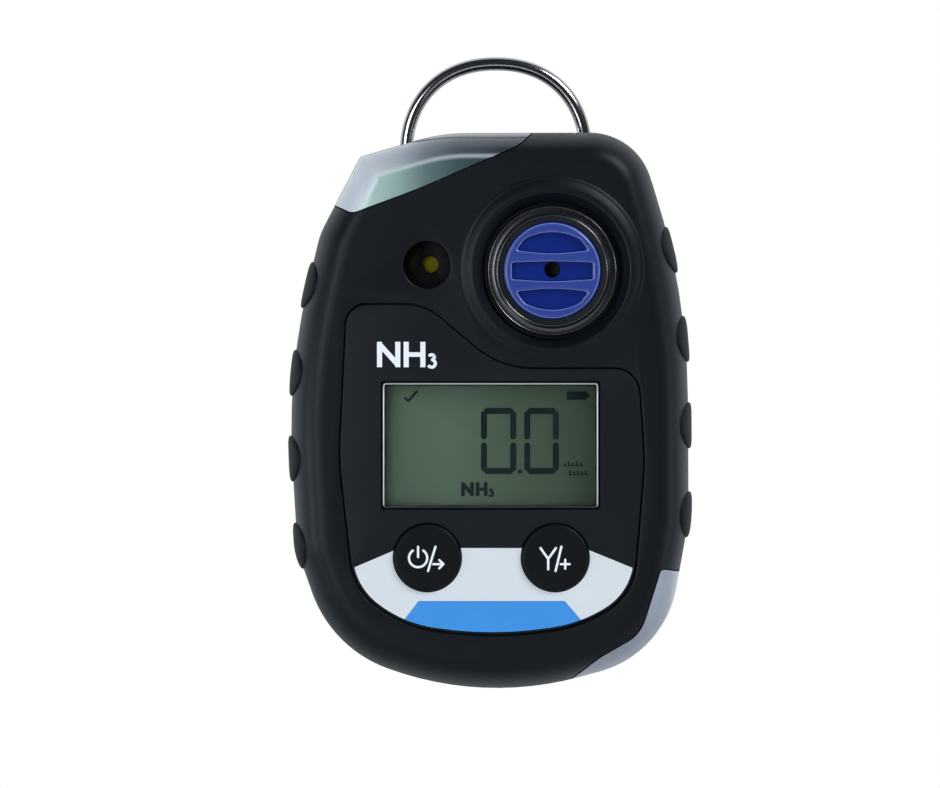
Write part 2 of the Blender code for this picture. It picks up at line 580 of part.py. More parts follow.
def make_clip_plate(finish):
    low_z, top_z = -13.0, BAIL_AXIS[1] - 1.4
    plate = block(
        "clip_plate", (-CLIP_HALF_WIDTH, CLIP_HALF_WIDTH), (PLATE_FRONT_Y, PLATE_REAR_Y), (low_z, top_z),
        finish["steel"],
    )
    barrel = ((1.3, -7.0), (2.1, -7.0), (2.1, 7.0), (1.3, 7.0))
    join(plate, turned("bail_barrel", barrel, at=(0, *BAIL_AXIS), axis="X", segments=24, ring=True))
    y, z = CLIP_AXIS
    ear = (
        (PLATE_FRONT_Y, z - 4, 0.4), (PLATE_FRONT_Y, z + 4, 0.4), (1.0, z + 4, 2.0),
        (y + 2.3, z + 2, 2.0), (y + 2.3, z - 2, 2.0), (1.0, z - 4, 2.0),
    )
    for side, (low, high) in {"left": (-8.7, -7.7), "right": (7.7, 8.7)}.items():
        join(plate, side_prism(f"clip_ear_{side}", outline(ear, 0, 30), low, high))
        foot = (-8.2, -7.0) if side == "left" else (7.0, 8.2)
        join(plate, block(f"ear_foot_{side}", foot, (PLATE_FRONT_Y + 0.1, -0.1), (z - 3.3, z + 3.3)))
    hole = ((PIN_RADIUS + 0.2, -12), (PIN_RADIUS + 0.2, 12))
    cut(plate, turned("ear_holes", hole, at=(0, y, z), axis="X", segments=16))
    for name, screw_z in CLIP_SCREWS.items():
        cone = ((1.15, -1.4), (1.15, -1.3), (2.5, 0.05), (2.5, 0.3))
        cut(plate, turned(f"plate_countersink_{name}", cone, at=(0, 0, screw_z), segments=24))
        place = (0, 0, screw_z)
        profile = ((2.05, -0.1), (0.9, -1.25), (0.9, -4.5))
        screw = turned(f"clip_screw_{name}", profile, finish["steel"], place, segments=20)
        cut(screw, block(f"clip_screw_slot_{name}", (-1.4, 1.4), (-0.5, 0.5), (-0.25, 0.25), at=place))


def make_clip_jaw(finish):
    y, z = CLIP_AXIS
    at = (0, y, z)
    local = [(py - y, pz - z) for py, pz in JAW_PATH]
    sheet = sheet_outline(local, JAW_SHEET)
    jaw = side_prism("clip_jaw", sheet, -JAW_HALF_WIDTH, JAW_HALF_WIDTH, finish["steel"], at)
    flange = ((-1.8, -2.1, 1.6), (2.3, -2.1, 0.3), (2.3, 2.1, 0.3), (-1.8, 2.1, 1.6))
    for side, (low, high) in {"left": (-7.0, -6.0), "right": (6.0, 7.0)}.items():
        join(jaw, side_prism(f"jaw_flange_{side}", outline(flange, 0, 30), low, high, at=at))
    hole = ((PIN_RADIUS + 0.2, -8), (PIN_RADIUS + 0.2, 8))
    cut(jaw, turned("jaw_holes", hole, at=at, axis="X", segments=16))
    for i in range(4):
        x = -4.2 + 2.8 * i
        cut(jaw, block(f"tooth_gap_{i}", (x - 0.7, x + 0.7), (-0.5, 2.2), (-13.5, -11.0)))
    pin = ((1.4, -9.6), (1.4, -9.0), (PIN_RADIUS, -9.0), (PIN_RADIUS, 9.0), (1.4, 9.0), (1.4, 9.6))
    turned("clip_pin", pin, finish["steel"], at, "X", 16)
    path = [(-SPRING_PITCH * SPRING_TURNS / 2, -2.8, -8.2)]
    leave = math.radians(26.6)
    steps = 10 * SPRING_TURNS
    for k in range(steps + 1):
        angle = (2 * math.pi * SPRING_TURNS + leave) * k / steps
        x = SPRING_PITCH * SPRING_TURNS * (k / steps - 0.5)
        path.append((x, -SPRING_RADIUS * math.cos(angle), SPRING_RADIUS * math.sin(angle)))
    end = path[-1]
    path.append((end[0], end[1] + 9.5 * math.sin(leave), end[2] + 9.5 * math.cos(leave)))
    wire("clip_spring", path, SPRING_WIRE, finish["steel"], at)


def make_bail(finish):
    """The wire ring: a round-shouldered hoop, two short legs and a straight bar on the axis."""
    y, z = BAIL_AXIS
    path = []
    for k in range(25):
        angle = math.pi * k / 24
        c, s = math.cos(angle), math.sin(angle)
        x = BAIL_HALF * math.copysign(abs(c) ** (2 / BAIL_POWER), c)
        rise = (BAIL_TOP_Z - BAIL_SHOULDER_Z) * s ** (2 / BAIL_POWER)
        path.append((x, 0, BAIL_SHOULDER_Z + rise - z))
    for side in (-1, 1):
        for k in range(5):
            angle = math.radians(90 * (k if side < 0 else 4 - k) / 4)
            x = side * (BAIL_HALF - BAIL_CORNER + BAIL_CORNER * math.cos(angle))
            path.append((x, 0, BAIL_CORNER - BAIL_CORNER * math.sin(angle)))
    wire("bail", path, BAIL_WIRE, finish["chrome"], (BAIL_X, y, z), cyclic=True, resolution=3)


def main():
    for old in list(bpy.data.objects):
        bpy.data.objects.remove(old)
    finish = make_materials()
    grooves = []
    for name, (side, pads, ends) in GRIPS.items():
        grip_strip(f"grip_{name}", side, pads, ends, finish=finish["grip"])
        grooves.append(grip_strip(f"grip_groove_{name}", side, pads, ends, FIT))
    make_front_housing(finish["case"], grooves)
    make_rear_housing(finish["case"], grooves)
    make_seal(finish["seal"])
    make_lens("alarm_lens_top", TOP_LENS, LENS_STEP, finish["lens"])
    make_lens("alarm_lens_bottom", BOTTOM_LENS, 0.0, finish["lens"])
    make_face(finish)
    make_buttons(finish)
    make_sensor(finish)
    make_sounder(finish)
    make_display(finish)
    make_main_board(finish)
    make_battery(finish)
    make_vibrator(finish)
    make_case_screws(finish)
    make_clip_plate(finish)
    make_clip_jaw(finish)
    make_bail(finish)
    rating = rectangle(-14.0, 14.0, -34.0, -18.0, 1.5)
    prism("rating_label", rating, REAR_Y + 0.1, REAR_Y + 0.35, finish["label"])


main()
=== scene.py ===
"""Looks of the portable gas detector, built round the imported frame. Lengths here are millimetres."""
import json
import math

import bmesh
import bpy
import numpy as np
from mathutils import Matrix, Vector


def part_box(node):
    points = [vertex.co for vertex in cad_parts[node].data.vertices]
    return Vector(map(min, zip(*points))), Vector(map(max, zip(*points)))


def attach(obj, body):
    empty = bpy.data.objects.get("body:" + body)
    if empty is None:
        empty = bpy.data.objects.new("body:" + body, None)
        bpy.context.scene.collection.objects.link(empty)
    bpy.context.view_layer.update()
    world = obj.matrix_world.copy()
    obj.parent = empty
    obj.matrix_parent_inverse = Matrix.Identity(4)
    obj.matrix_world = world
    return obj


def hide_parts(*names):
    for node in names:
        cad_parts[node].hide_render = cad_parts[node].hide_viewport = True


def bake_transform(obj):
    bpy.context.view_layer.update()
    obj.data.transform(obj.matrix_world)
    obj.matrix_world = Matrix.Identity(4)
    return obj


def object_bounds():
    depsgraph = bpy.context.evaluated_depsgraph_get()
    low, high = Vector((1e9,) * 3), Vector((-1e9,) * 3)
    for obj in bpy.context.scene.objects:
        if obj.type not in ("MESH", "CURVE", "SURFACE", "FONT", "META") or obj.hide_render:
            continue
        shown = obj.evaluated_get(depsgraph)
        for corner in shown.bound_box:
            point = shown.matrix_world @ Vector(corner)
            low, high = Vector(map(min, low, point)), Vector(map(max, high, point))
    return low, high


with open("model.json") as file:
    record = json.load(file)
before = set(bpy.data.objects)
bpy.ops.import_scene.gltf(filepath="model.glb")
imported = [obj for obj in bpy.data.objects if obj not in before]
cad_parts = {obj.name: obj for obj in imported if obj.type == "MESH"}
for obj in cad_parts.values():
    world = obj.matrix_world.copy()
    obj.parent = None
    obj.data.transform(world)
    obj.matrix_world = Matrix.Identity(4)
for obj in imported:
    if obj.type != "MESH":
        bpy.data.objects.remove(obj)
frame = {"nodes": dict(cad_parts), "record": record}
CAD_BOX = [list(corner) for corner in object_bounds()]
MM = 0.001


def node_box(node):
    """Lowest and highest corner of a CAD node, in millimetres."""
    low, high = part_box(node)
    return np.array(low) / MM, np.array(high) / MM


def node_middle(node):
    low, high = node_box(node)
    return (low + high) / 2


# Depths and places, read from the frame
PANEL_DROP = 0.15                         # the face panel lies this far below the case's face
RIM_REACH = 0.1                           # each rim closes this much of the gap at the gasket
PLATE_LOW, PLATE_HIGH = node_box("faceplate")
PLATE_Y = PLATE_LOW[1]
FACE_Y = PLATE_Y - PANEL_DROP
FRONT_RIM_Y = node_box("front_housing")[1][1] + RIM_REACH
REAR_RIM_Y = node_box("rear_housing")[0][1] - RIM_REACH
BACK_Y = node_box("rear_housing")[1][1]
PARTING_Y = (FRONT_RIM_Y + REAR_RIM_Y) / 2
CREST_Y = node_box("front_housing")[0][1]
INLET_Y = node_box("inlet_grille")[0][1]
LABEL_LOW, LABEL_HIGH = node_box("keypad_label")
WINDOW_LOW, WINDOW_HIGH = node_box("display_window")
SENSOR = node_middle("inlet_grille")
COLLAR = SENSOR + (0, 0, 0.45)            # the collar stands a little above the well's middle
SOUNDER = node_middle("sounder_disc")
BUTTONS = {name: node_middle(f"{name}_button") for name in ("power", "menu")}
CASE_SCREWS = [node_middle(f"housing_screw_{i}") for i in range(1, 5)]

# Outlines in front view: x, z and corner radius, round the origin of the frame
CASE = (
    (-20.3, 39.3, 1.0), (-7.6, 43.0, 29), (22.8, 43.1, 10), (30.9, 18.4, 109),
    (31.1, -17.5, 30.7), (27.3, -38.5, 16.7), (-1.2, -46.2, 49.4), (-24.8, -37.5, 19.6),
    (-30.1, -22.5, 12.6), (-31.8, 5.3, 98), (-26.6, 27.2, 13),
)
FACE = (
    (-22.4, 16.2, 3.4), (-10.2, 16.2, 9), (1.6, 6.2, 14), (23.1, 6.2, 4.2),
    (24.1, -8.0, 40), (22.4, -28.9, 9.7), (14.4, -33.9, 22), (0.5, -36.1, 59),
    (-13.8, -33.9, 19.3), (-21.3, -28.1, 10.5), (-23.6, -8.0, 40),
)
TOP_LENS = (
    (-30.0, 34.3, 0.3), (-21.5, 30.25, 1.8), (-11.0, 34.15, 60), (4.6, 40.9, 8),
    (9.8, 46.1, 0.3), (9.8, 50.0, 0.3), (-30.0, 50.0, 0.3),
)
BOTTOM_LENS = (
    (36.0, -26.3, 0.3), (26.6, -25.0, 0.8), (25.3, -29.2, 25), (23.4, -35.2, 6),
    (17.0, -38.9, 8), (9.5, -44.75, 0.3), (9.5, -50.0, 0.3), (36.0, -50.0, 0.3),
)
GROOVE = 0.12                             # half the gap round the face panel
FACE_HALF = 24.0                          # half of the panel's width
FACE_POCKET = tuple((x * (1 + GROOVE / FACE_HALF), z + GROOVE * z / abs(z), radius) for x, z, radius in FACE)
EDGE_POWER = 2.5                          # how square the rounded edge of the case is
FRONT_EDGE, REAR_EDGE = 5.2, 4.5          # how far that edge reaches in from the outline
SKIN = 0.05                               # the case stands this far inside its solid's rounded outline
WALL = 2.8                                # thickness of the case's side walls
FRONT_INNER_Y, REAR_INNER_Y = -21.3, -3.1  # inner faces of the two shells

# Where cutters begin and end
AHEAD_Y = -30.0                           # in front of the whole part
WALL_BACK_Y = -20.5                       # behind the wall that the panel lies on
PANEL_BACK_Y = -20.0                      # behind the face panel and that wall
SHELL_BACK_Y = -5.0                       # behind the rim of the front shell
OVERRUN = 3.0                             # a rounded mouth's cutter goes this far past the face

# Fineness
FINE, COARSE = 3.0, 15.0                  # degrees a step round a corner
ROUND, SMALL_ROUND = 160, 64              # sides of the large and the small turned forms
SHARP = 34                                # degrees: a sharper edge is shaded as an edge


# Materials ---------------------------------------------------------------------------------

def linear(colour):
    return [c / 255 / 12.92 if c < 11 else ((c / 255 + 0.055) / 1.055) ** 2.4 for c in colour]


MOTTLE_SCALE = 140                        # clouds of colour to the metre
RELIEF = 0.0001                           # height of the grain, in metres


def surface(name, colour, roughness, spread=0.08, grain=1800, bump=0.05, mottle=0.12, **sockets):
    """A moulded or metal surface: colour and gloss vary a little, over a fine grain."""
    made = bpy.data.materials.new(name)
    made.use_nodes = True
    nodes, links = made.node_tree.nodes, made.node_tree.links
    shader = nodes["Principled BSDF"]
    place = nodes.new("ShaderNodeTexCoord")

    def noise(scale, detail):
        texture = nodes.new("ShaderNodeTexNoise")
        texture.inputs["Scale"].default_value = scale
        texture.inputs["Detail"].default_value = detail
        links.new(place.outputs["Object"], texture.inputs["Vector"])
        return texture

    wide, fine = noise(MOTTLE_SCALE, 3), noise(grain, 2)
    ramp = nodes.new("ShaderNodeValToRGB")
    tone = linear(colour)
    ramp.color_ramp.elements[0].position, ramp.color_ramp.elements[1].position = 0.3, 0.7
    ramp.color_ramp.elements[0].color = (*[t * (1 - mottle) for t in tone], 1)
    ramp.color_ramp.elements[1].color = (*[min(1, t * (1 + mottle)) for t in tone], 1)
    links.new(wide.outputs["Fac"], ramp.inputs["Fac"])
    links.new(ramp.outputs["Color"], shader.inputs["Base Color"])
    gloss = nodes.new("ShaderNodeMapRange")
    gloss.inputs["To Min"].default_value = max(0.02, roughness - spread)
    gloss.inputs["To Max"].default_value = roughness + spread
    links.new(fine.outputs["Fac"], gloss.inputs["Value"])
    links.new(gloss.outputs["Result"], shader.inputs["Roughness"])
    relief = nodes.new("ShaderNodeBump")
    relief.inputs["Strength"].default_value = bump
    relief.inputs["Distance"].default_value = RELIEF
    links.new(fine.outputs["Fac"], relief.inputs["Height"])
    links.new(relief.outputs["Normal"], shader.inputs["Normal"])
    for socket, value in sockets.items():
        shader.inputs[socket.replace("_", " ")].default_value = value
    return made


def tint(made, axis, low, high, *stops, blend="MULTIPLY"):
    """Blends the colour with a ramp that runs along an axis, from low to high in millimetres."""
    nodes, links = made.node_tree.nodes, made.node_tree.links
    place, split = nodes.new("ShaderNodeTexCoord"), nodes.new("ShaderNodeSeparateXYZ")
    along, ramp = nodes.new("ShaderNodeMapRange"), nodes.new("ShaderNodeValToRGB")
    mix = nodes.new("ShaderNodeMix")
    along.inputs["From Min"].default_value = low * MM
    along.inputs["From Max"].default_value = high * MM
    while len(ramp.color_ramp.elements) < len(stops):
        ramp.color_ramp.elements.new(0.5)
    for element, (share, colour) in zip(ramp.color_ramp.elements, stops):
        element.position = share
        element.color = (*linear(colour), 1)
    mix.data_type, mix.blend_type = "RGBA", blend
    mix.inputs[0].default_value = 1.0
    base = nodes["Principled BSDF"].inputs["Base Color"]
    links.new(place.outputs["Object"], split.inputs[0])
    links.new(split.outputs[axis], along.inputs["Value"])
    links.new(along.outputs["Result"], ramp.inputs["Fac"])
    links.new(base.links[0].from_socket, mix.inputs[6])
    links.new(ramp.outputs["Color"], mix.inputs[7])
    links.new(mix.outputs[2], base)
    return made


def lens_with_painted_light():
    """Clear plastic with painted light: a painted reflection of the left lamp makes its left end bright and
    painted shade darkens it toward the right, it is greenish on its flat front, and a painted highlight makes
    the light line round that.
    """
    clear = surface(
        "lens_plastic", (255, 255, 255), 0.14, 0.02, bump=0.0, mottle=0.02,
        Transmission_Weight=0.25, IOR=1.45,
    )
    edge = FACE_Y + 3.2                   # where the front's rounded edge is steep
    # painted reflection: bright at the left end; painted shade: darker toward the right end
    tint(
        clear, "X", -30, 10,
        (0.0, (255, 255, 255)), (0.25, (250, 254, 255)), (0.39, (204, 212, 214)), (0.5, (138, 148, 154)),
        (0.62, (98, 108, 116)), (0.8, (68, 74, 84)), (1.0, (54, 58, 68)),
    )
    tint(
        clear, "Y", FACE_Y, edge,
        (0.0, (208, 232, 222)), (0.06, (208, 232, 222)), (0.12, (240, 242, 244)), (0.5, (226, 227, 234)),
    )
    # painted highlight: the light line along the front's rounded edge
    return tint(
        clear, "Y", FACE_Y, edge,
        (0.03, (0, 0, 0)), (0.07, (190, 195, 200)), (0.15, (0, 0, 0)), blend="SCREEN",
    )


def lcd_with_painted_shade():
    """The reflector behind the display's glass, with painted shade: lightest left of its middle, a little
    darker at its left edge and darkest toward its right edge.
    """
    return tint(
        surface("lcd_reflector", (255, 255, 255), 0.4, mottle=0.01), "X", WINDOW_LOW[0], WINDOW_HIGH[0],
        (0.0, (100, 116, 92)), (0.3, (112, 131, 108)), (0.6, (96, 113, 90)), (1.0, (76, 88, 70)),
    )


def bezel_with_painted_shade():
    """The thin line round the display window, with painted shade: dark along its lower side and a little
    darker along its upper side.
    """
    return tint(
        surface("bezel_edge", (255, 255, 255), 0.4, mottle=0.01, bump=0.01),
        "Z", WINDOW_LOW[2], WINDOW_HIGH[2],
        (0.0, (28, 30, 32)), (0.03, (200, 202, 204)), (0.9, (236, 238, 240)), (1.0, (170, 174, 176)),
    )


def inlet_with_painted_light():
    """Blue plastic with painted light: painted shade makes it deeper in the sunk fields, and a painted
    highlight makes it pale on the lips round them.
    """
    return tint(
        surface("inlet_blue", (255, 255, 255), 0.25, 0.04, bump=0.01, mottle=0.01),
        "Y", INLET_Y, INLET_Y + FIELD_DEPTH,
        (0.0, (50, 68, 146)), (0.1, (62, 80, 158)), (0.2, (150, 166, 212)), (0.3, (56, 74, 154)),
        (0.9, (8, 36, 122)),
    )


def make_finishes():
    return {
        "case": surface(
            "case_soft_plastic", (8, 14, 20), 0.45, grain=2600, bump=0.08, Specular_IOR_Level=0.2,
        ),
        "grip": surface("grip_rubber", (9, 13, 18), 0.62, grain=2200, bump=0.2, Specular_IOR_Level=0.16),
        "panel": surface("panel_plastic", (17, 23, 28), 0.48, grain=3200, bump=0.05, Specular_IOR_Level=0.18),
        "lens": lens_with_painted_light(),
        "low_lens": surface(
            "low_lens_plastic", (182, 190, 202), 0.2, 0.02, bump=0.0, mottle=0.03,
            Transmission_Weight=0.35, IOR=1.45,
        ),
        "white_film": surface("white_film", (226, 230, 232), 0.4, bump=0.02, mottle=0.015),
        "blue_film": surface("blue_film", (62, 150, 228), 0.38, bump=0.02, mottle=0.03),
        "window": surface(
            "window_acrylic", (238, 244, 242), 0.04, 0.01, bump=0.0, mottle=0.0,
            Transmission_Weight=1.0, IOR=1.2,
        ),
        "lcd": lcd_with_painted_shade(),
        "ink": surface("lcd_ink", (26, 42, 42), 0.5, mottle=0.05, Specular_IOR_Level=0.2),
        "print": surface("white_print", (246, 248, 250), 0.5, bump=0.02, mottle=0.01),
        "bezel": bezel_with_painted_shade(),
        "backlight": surface("backlight_plastic", (180, 192, 160), 0.4),
        "button": surface("button_rubber", (13, 16, 19), 0.5, grain=3000, bump=0.1, Specular_IOR_Level=0.12),
        "inlet": inlet_with_painted_light(),
        "ring": surface("ring_gloss", (14, 17, 20), 0.24, 0.03, bump=0.01, IOR=2.0),
        "filter": surface("filter_membrane", (24, 25, 30), 0.9, grain=6000, bump=0.5),
        "steel": surface("spring_steel", (186, 186, 184), 0.32, 0.1, grain=2500, bump=0.08, Metallic=1.0),
        "chrome": surface("bail_chrome", (196, 196, 196), 0.14, 0.03, bump=0.01, mottle=0.03, Metallic=1.0),
        "brass": surface("brass", (122, 112, 30), 0.38, 0.1, Metallic=1.0),
        "board": surface("board_mask", (44, 104, 84), 0.42, mottle=0.25),
        "chip": surface("moulded_epoxy", (5, 5, 8), 0.5, grain=4000, bump=0.2, Specular_IOR_Level=0.1),
        "inner": surface("inner_plastic", (62, 64, 67), 0.6),
        "sensor_body": surface("sensor_plastic", (222, 220, 210), 0.5),
        "led": surface("led_epoxy", (236, 240, 226), 0.2, Transmission_Weight=0.3),
        "cell": surface("cell_sleeve", (66, 104, 78), 0.3),
        "seal": surface("seal_silicone", (98, 38, 32), 0.7),
        "rating": surface("blank_label", (196, 199, 202), 0.5, bump=0.03, mottle=0.02),
        "floor": surface("pale_floor", (214, 215, 217), 0.6, mottle=0.01, bump=0.0),
    }


# Meshes ------------------------------------------------------------------------------------

def outline(corners, inset=0.0, step_degrees=FINE):
    """The rounded outline through these corners, moved in by inset, as an array of x, z."""
    points = np.array([corner[:2] for corner in corners], float)
    following = np.roll(points, -1, axis=0)
    area = np.sum(points[:, 0] * following[:, 1] - following[:, 0] * points[:, 1]) / 2
    side = 1 if area > 0 else -1
    along = (following - points) / np.linalg.norm(following - points, axis=1)[:, None]
    inward = np.stack([-along[:, 1], along[:, 0]], axis=1) * side
    moved = points + inward * inset
    made = []
    for i, (_, _, radius) in enumerate(corners):
        p, d = moved[i - 1], along[i - 1]
        q, e = moved[i], along[i]
        cross = d[0] * e[1] - d[1] * e[0]
        vertex = p + d * ((q - p)[0] * e[1] - (q - p)[1] * e[0]) / cross
        turn = math.atan2(cross, d @ e)
        fillet = max(radius - inset if turn * side > 0 else radius + inset, 0.3)
        start = vertex - d * fillet * math.tan(abs(turn) / 2)
        hand = 1 if turn > 0 else -1
        centre = start + np.array([-d[1], d[0]]) * hand * fillet
        first = math.atan2(start[1] - centre[1], start[0] - centre[0])
        steps = max(2, math.ceil(abs(math.degrees(turn)) / step_degrees))
        for k in range(steps + 1):
            angle = first + turn * k / steps
            made.append(centre + fillet * np.array([math.cos(angle), math.sin(angle)]))
    return np.array(made)


def rectangle(low, high, radius):
    """Corners of a rectangle from its low and high x, z."""
    return (
        (low[0], low[1], radius), (high[0], low[1], radius),
        (high[0], high[1], radius), (low[0], high[1], radius),
    )


def link_mesh(name, bm, sharp=SHARP):
    bmesh.ops.recalc_face_normals(bm, faces=bm.faces)
    mesh = bpy.data.meshes.new(name)
    bm.to_mesh(mesh)
    bm.free()
    mesh.shade_smooth()
    mesh.set_sharp_from_angle(angle=math.radians(sharp))
    made = bpy.data.objects.new(name, mesh)
    bpy.context.scene.collection.objects.link(made)
    return made


def loft_all(name, solids, closed=False):
    """One mesh of solids, each through rings of equal point counts, given in millimetres."""
    bm = bmesh.new()
    for rings in solids:
        rows = [[bm.verts.new(Vector(point) * MM) for point in ring] for ring in rings]
        pairs = zip(rows, rows[1:] + rows[:1]) if closed else zip(rows, rows[1:])
        for lower, upper in pairs:
            for a in range(len(lower)):
                b = (a + 1) % len(lower)
                bm.faces.new((lower[a], lower[b], upper[b], upper[a]))
        if not closed:
            bm.faces.new(rows[0])
            bm.faces.new(rows[-1])
    return link_mesh(name, bm)


def loft(name, rings, closed=False):
    return loft_all(name, [rings], closed)


def layered(name, corners, layers, step=FINE, at=(0, 0)):
    """A solid from layers of one outline, each a depth and an inset."""
    rings = []
    for y, inset in layers:
        flat = outline(corners, inset, step)
        rings.append([(x + at[0], y, z + at[1]) for x, z in flat])
    return loft(name, rings)


def turned(name, profile, spot, segments=96, ring=False):
    """A profile of radius and depth, turned round the line through a spot from front to back."""
    turns = [2 * math.pi * k / segments for k in range(segments)]
    rings = []
    for radius, y in profile:
        rings.append([(spot[0] + radius * math.cos(a), y, spot[2] + radius * math.sin(a)) for a in turns])
    return loft(name, rings, closed=ring)


def carve(target, *steps):
    """Applies booleans in turn, each a pair of operation and helper, and removes the helpers."""
    for operation, helper in steps:
        modifier = target.modifiers.new(helper.name, "BOOLEAN")
        modifier.object = helper
        modifier.operation = operation
    target.data = evaluated_mesh(target)
    target.modifiers.clear()
    for helper in {helper for _, helper in steps}:
        bpy.data.objects.remove(helper)
    target.data.shade_smooth()
    target.data.set_sharp_from_angle(angle=math.radians(SHARP))
    return target


def evaluated_mesh(made):
    bpy.context.view_layer.update()
    graph = bpy.context.evaluated_depsgraph_get()
    return bpy.data.meshes.new_from_object(made.evaluated_get(graph))


def piece(made, finish, body="case", stands_for=None):
    """Gives a mesh its finish and body, and hides the CAD node it stands for. A body is a name; given
    anything else, such as the two bodies that a mesh bends between, the mesh only has its transform baked in.
    """
    made.data.materials.clear()
    made.data.materials.append(finish)
    if isinstance(body, str):
        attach(made, body)
    else:
        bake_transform(made)
    if stands_for:
        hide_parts(stands_for)
    return made


def quarter_round(count, first=1):
    """Shares of a quarter round's radius, across and down, from its wall to its flat."""
    angles = [math.radians(90 * k / count) for k in range(first, count + 1)]
    return [(1 - math.cos(angle), 1 - math.sin(angle)) for angle in angles]


def through(name, corners, end_y=PANEL_BACK_Y, inset=0.0, step=FINE):
    """A cutter with straight walls that comes from in front of the part."""
    return layered(name, corners, ((AHEAD_Y, inset), (end_y, inset)), step)


def lip_cutter(name, corners, floor_y, face_y, lip, at=(0, 0), step=FINE):
    """Cuts a pocket whose mouth is rounded over."""
    layers = [(floor_y, 0.0), (face_y + lip, 0.0)]
    layers += [(face_y + lip * down, -lip * across) for across, down in quarter_round(5)]
    layers.append((face_y - OVERRUN, -lip))
    return layered(name, corners, layers, step, at)


def round_cutter(name, centre, radius, floor_y, face_y, lip):
    """Cuts a round pocket whose mouth is rounded over."""
    profile = [(radius, floor_y), (radius, face_y + lip)]
    profile += [(radius + lip * across, face_y + lip * down) for across, down in quarter_round(5)]
    profile.append((radius + lip, face_y - OVERRUN))
    return turned(name, profile, centre)


def slab(name, corners, y_front, y_rear, edge, step=FINE, gap=0.0):
    """A flat piece whose front edge is rounded over, moved in by a gap."""
    layers = [(y_rear, gap), (y_front + edge, gap)]
    layers += [(y_front + edge * down, gap + edge * across) for across, down in quarter_round(4)]
    return layered(name, corners, layers, step)


# Case --------------------------------------------------------------------------------------

def edge_inset(share, width):
    return width * (1 - (1 - share ** EDGE_POWER) ** (1 / EDGE_POWER))


def case_half(name, rim_y, face_y, width, wall=0.0):
    """Half of the case, from its rim round the edge to its face, moved in by a wall."""
    count, step = (6, COARSE) if wall else (16, FINE)
    wall += SKIN
    layers = [(rim_y, wall)]
    for k in range(1, count + 1):
        angle = math.radians(90 * k / count)
        share = math.sin(angle) ** (2 / EDGE_POWER)
        y = PARTING_Y + (face_y - PARTING_Y) * share
        if abs(y - PARTING_Y) > abs(rim_y - PARTING_Y):
            layers.append((y, wall + width * (1 - math.cos(angle) ** (2 / EDGE_POWER))))
    return layered(name, CASE, layers, step)


COLLAR_PROFILE = (                        # radius and depth, from the foot on the face to the crest
    (14.4, FACE_Y + 0.3), (14.35, FACE_Y), (14.2, FACE_Y - 0.12), (13.9, FACE_Y - 0.2), (13.7, FACE_Y - 0.26),
    (13.6, CREST_Y + 0.47), (13.4, CREST_Y + 0.35), (12.9, CREST_Y + 0.12), (12.65, CREST_Y + 0.03),
    (12.5, CREST_Y),
)
WELL_FLOOR_Y = FACE_Y + 1.6
WELL_PROFILE = (                          # from over the crest to the floor, and on for the sensor
    (12.6, CREST_Y - 1.0), (12.32, CREST_Y), (12.12, CREST_Y + 0.06), (11.98, CREST_Y + 0.25),
    (11.8, CREST_Y + 0.6), (10.85, WELL_FLOOR_Y - 0.2), (10.6, WELL_FLOOR_Y), (9.3, WELL_FLOOR_Y),
    (9.3, PANEL_BACK_Y),
)
PORT_RADIUS, PORT_FLOOR_Y = 3.65, -20.6   # the sounder's port
BUTTON_HOLE = 5.5                         # radius of the holes through the wall behind the panel
LENS_GAP = 0.1                            # half the gap between a lens and the shell


def make_front_shell(finish):
    shell = case_half("front_shell", FRONT_RIM_Y, FACE_Y, FRONT_EDGE)
    window = rectangle(WINDOW_LOW[[0, 2]] + 0.25, WINDOW_HIGH[[0, 2]] - 0.25, 0.4)
    steps = [
        ("DIFFERENCE", case_half("front_hollow", PARTING_Y + 1, FRONT_INNER_Y, 3.6, WALL)),
        ("UNION", turned("collar", COLLAR_PROFILE, COLLAR, ROUND)),
        ("DIFFERENCE", turned("well", WELL_PROFILE, SENSOR, ROUND)),
        ("DIFFERENCE", round_cutter("port", SOUNDER, PORT_RADIUS, PORT_FLOOR_Y, FACE_Y, 0.3)),
        ("DIFFERENCE", lip_cutter("face_pocket", FACE_POCKET, PLATE_HIGH[1] + 0.3, FACE_Y, 0.2)),
        ("DIFFERENCE", through("window_cut", window, WALL_BACK_Y, step=10)),
        ("DIFFERENCE", through("top_cut", TOP_LENS, SHELL_BACK_Y, -LENS_GAP)),
        ("DIFFERENCE", through("bottom_cut", BOTTOM_LENS, SHELL_BACK_Y, -LENS_GAP)),
    ]
    for name, spot in BUTTONS.items():
        profile = ((BUTTON_HOLE, spot[1] - OVERRUN), (BUTTON_HOLE, WALL_BACK_Y))
        steps.append(("DIFFERENCE", turned(f"{name}_cut", profile, spot, SMALL_ROUND)))
    steps += grip_sockets()
    carve(shell, *steps)
    piece(shell, finish["case"], stands_for="front_housing")


def make_rear_shell(finish):
    shell = case_half("rear_shell", REAR_RIM_Y, BACK_Y, REAR_EDGE)
    steps = [("DIFFERENCE", case_half("rear_hollow", PARTING_Y - 1, REAR_INNER_Y, 3.2, WALL))]
    seat = (
        (2.1, REAR_INNER_Y - 0.3), (2.1, BACK_Y - 0.25), (2.18, BACK_Y - 0.08),
        (2.4, BACK_Y), (2.4, BACK_Y + 1),
    )
    for i, spot in enumerate(CASE_SCREWS):
        steps.append(("DIFFERENCE", turned(f"seat_{i}", seat, spot, 48)))
    steps += grip_sockets()
    carve(shell, *steps)
    piece(shell, finish["case"], stands_for="rear_housing")


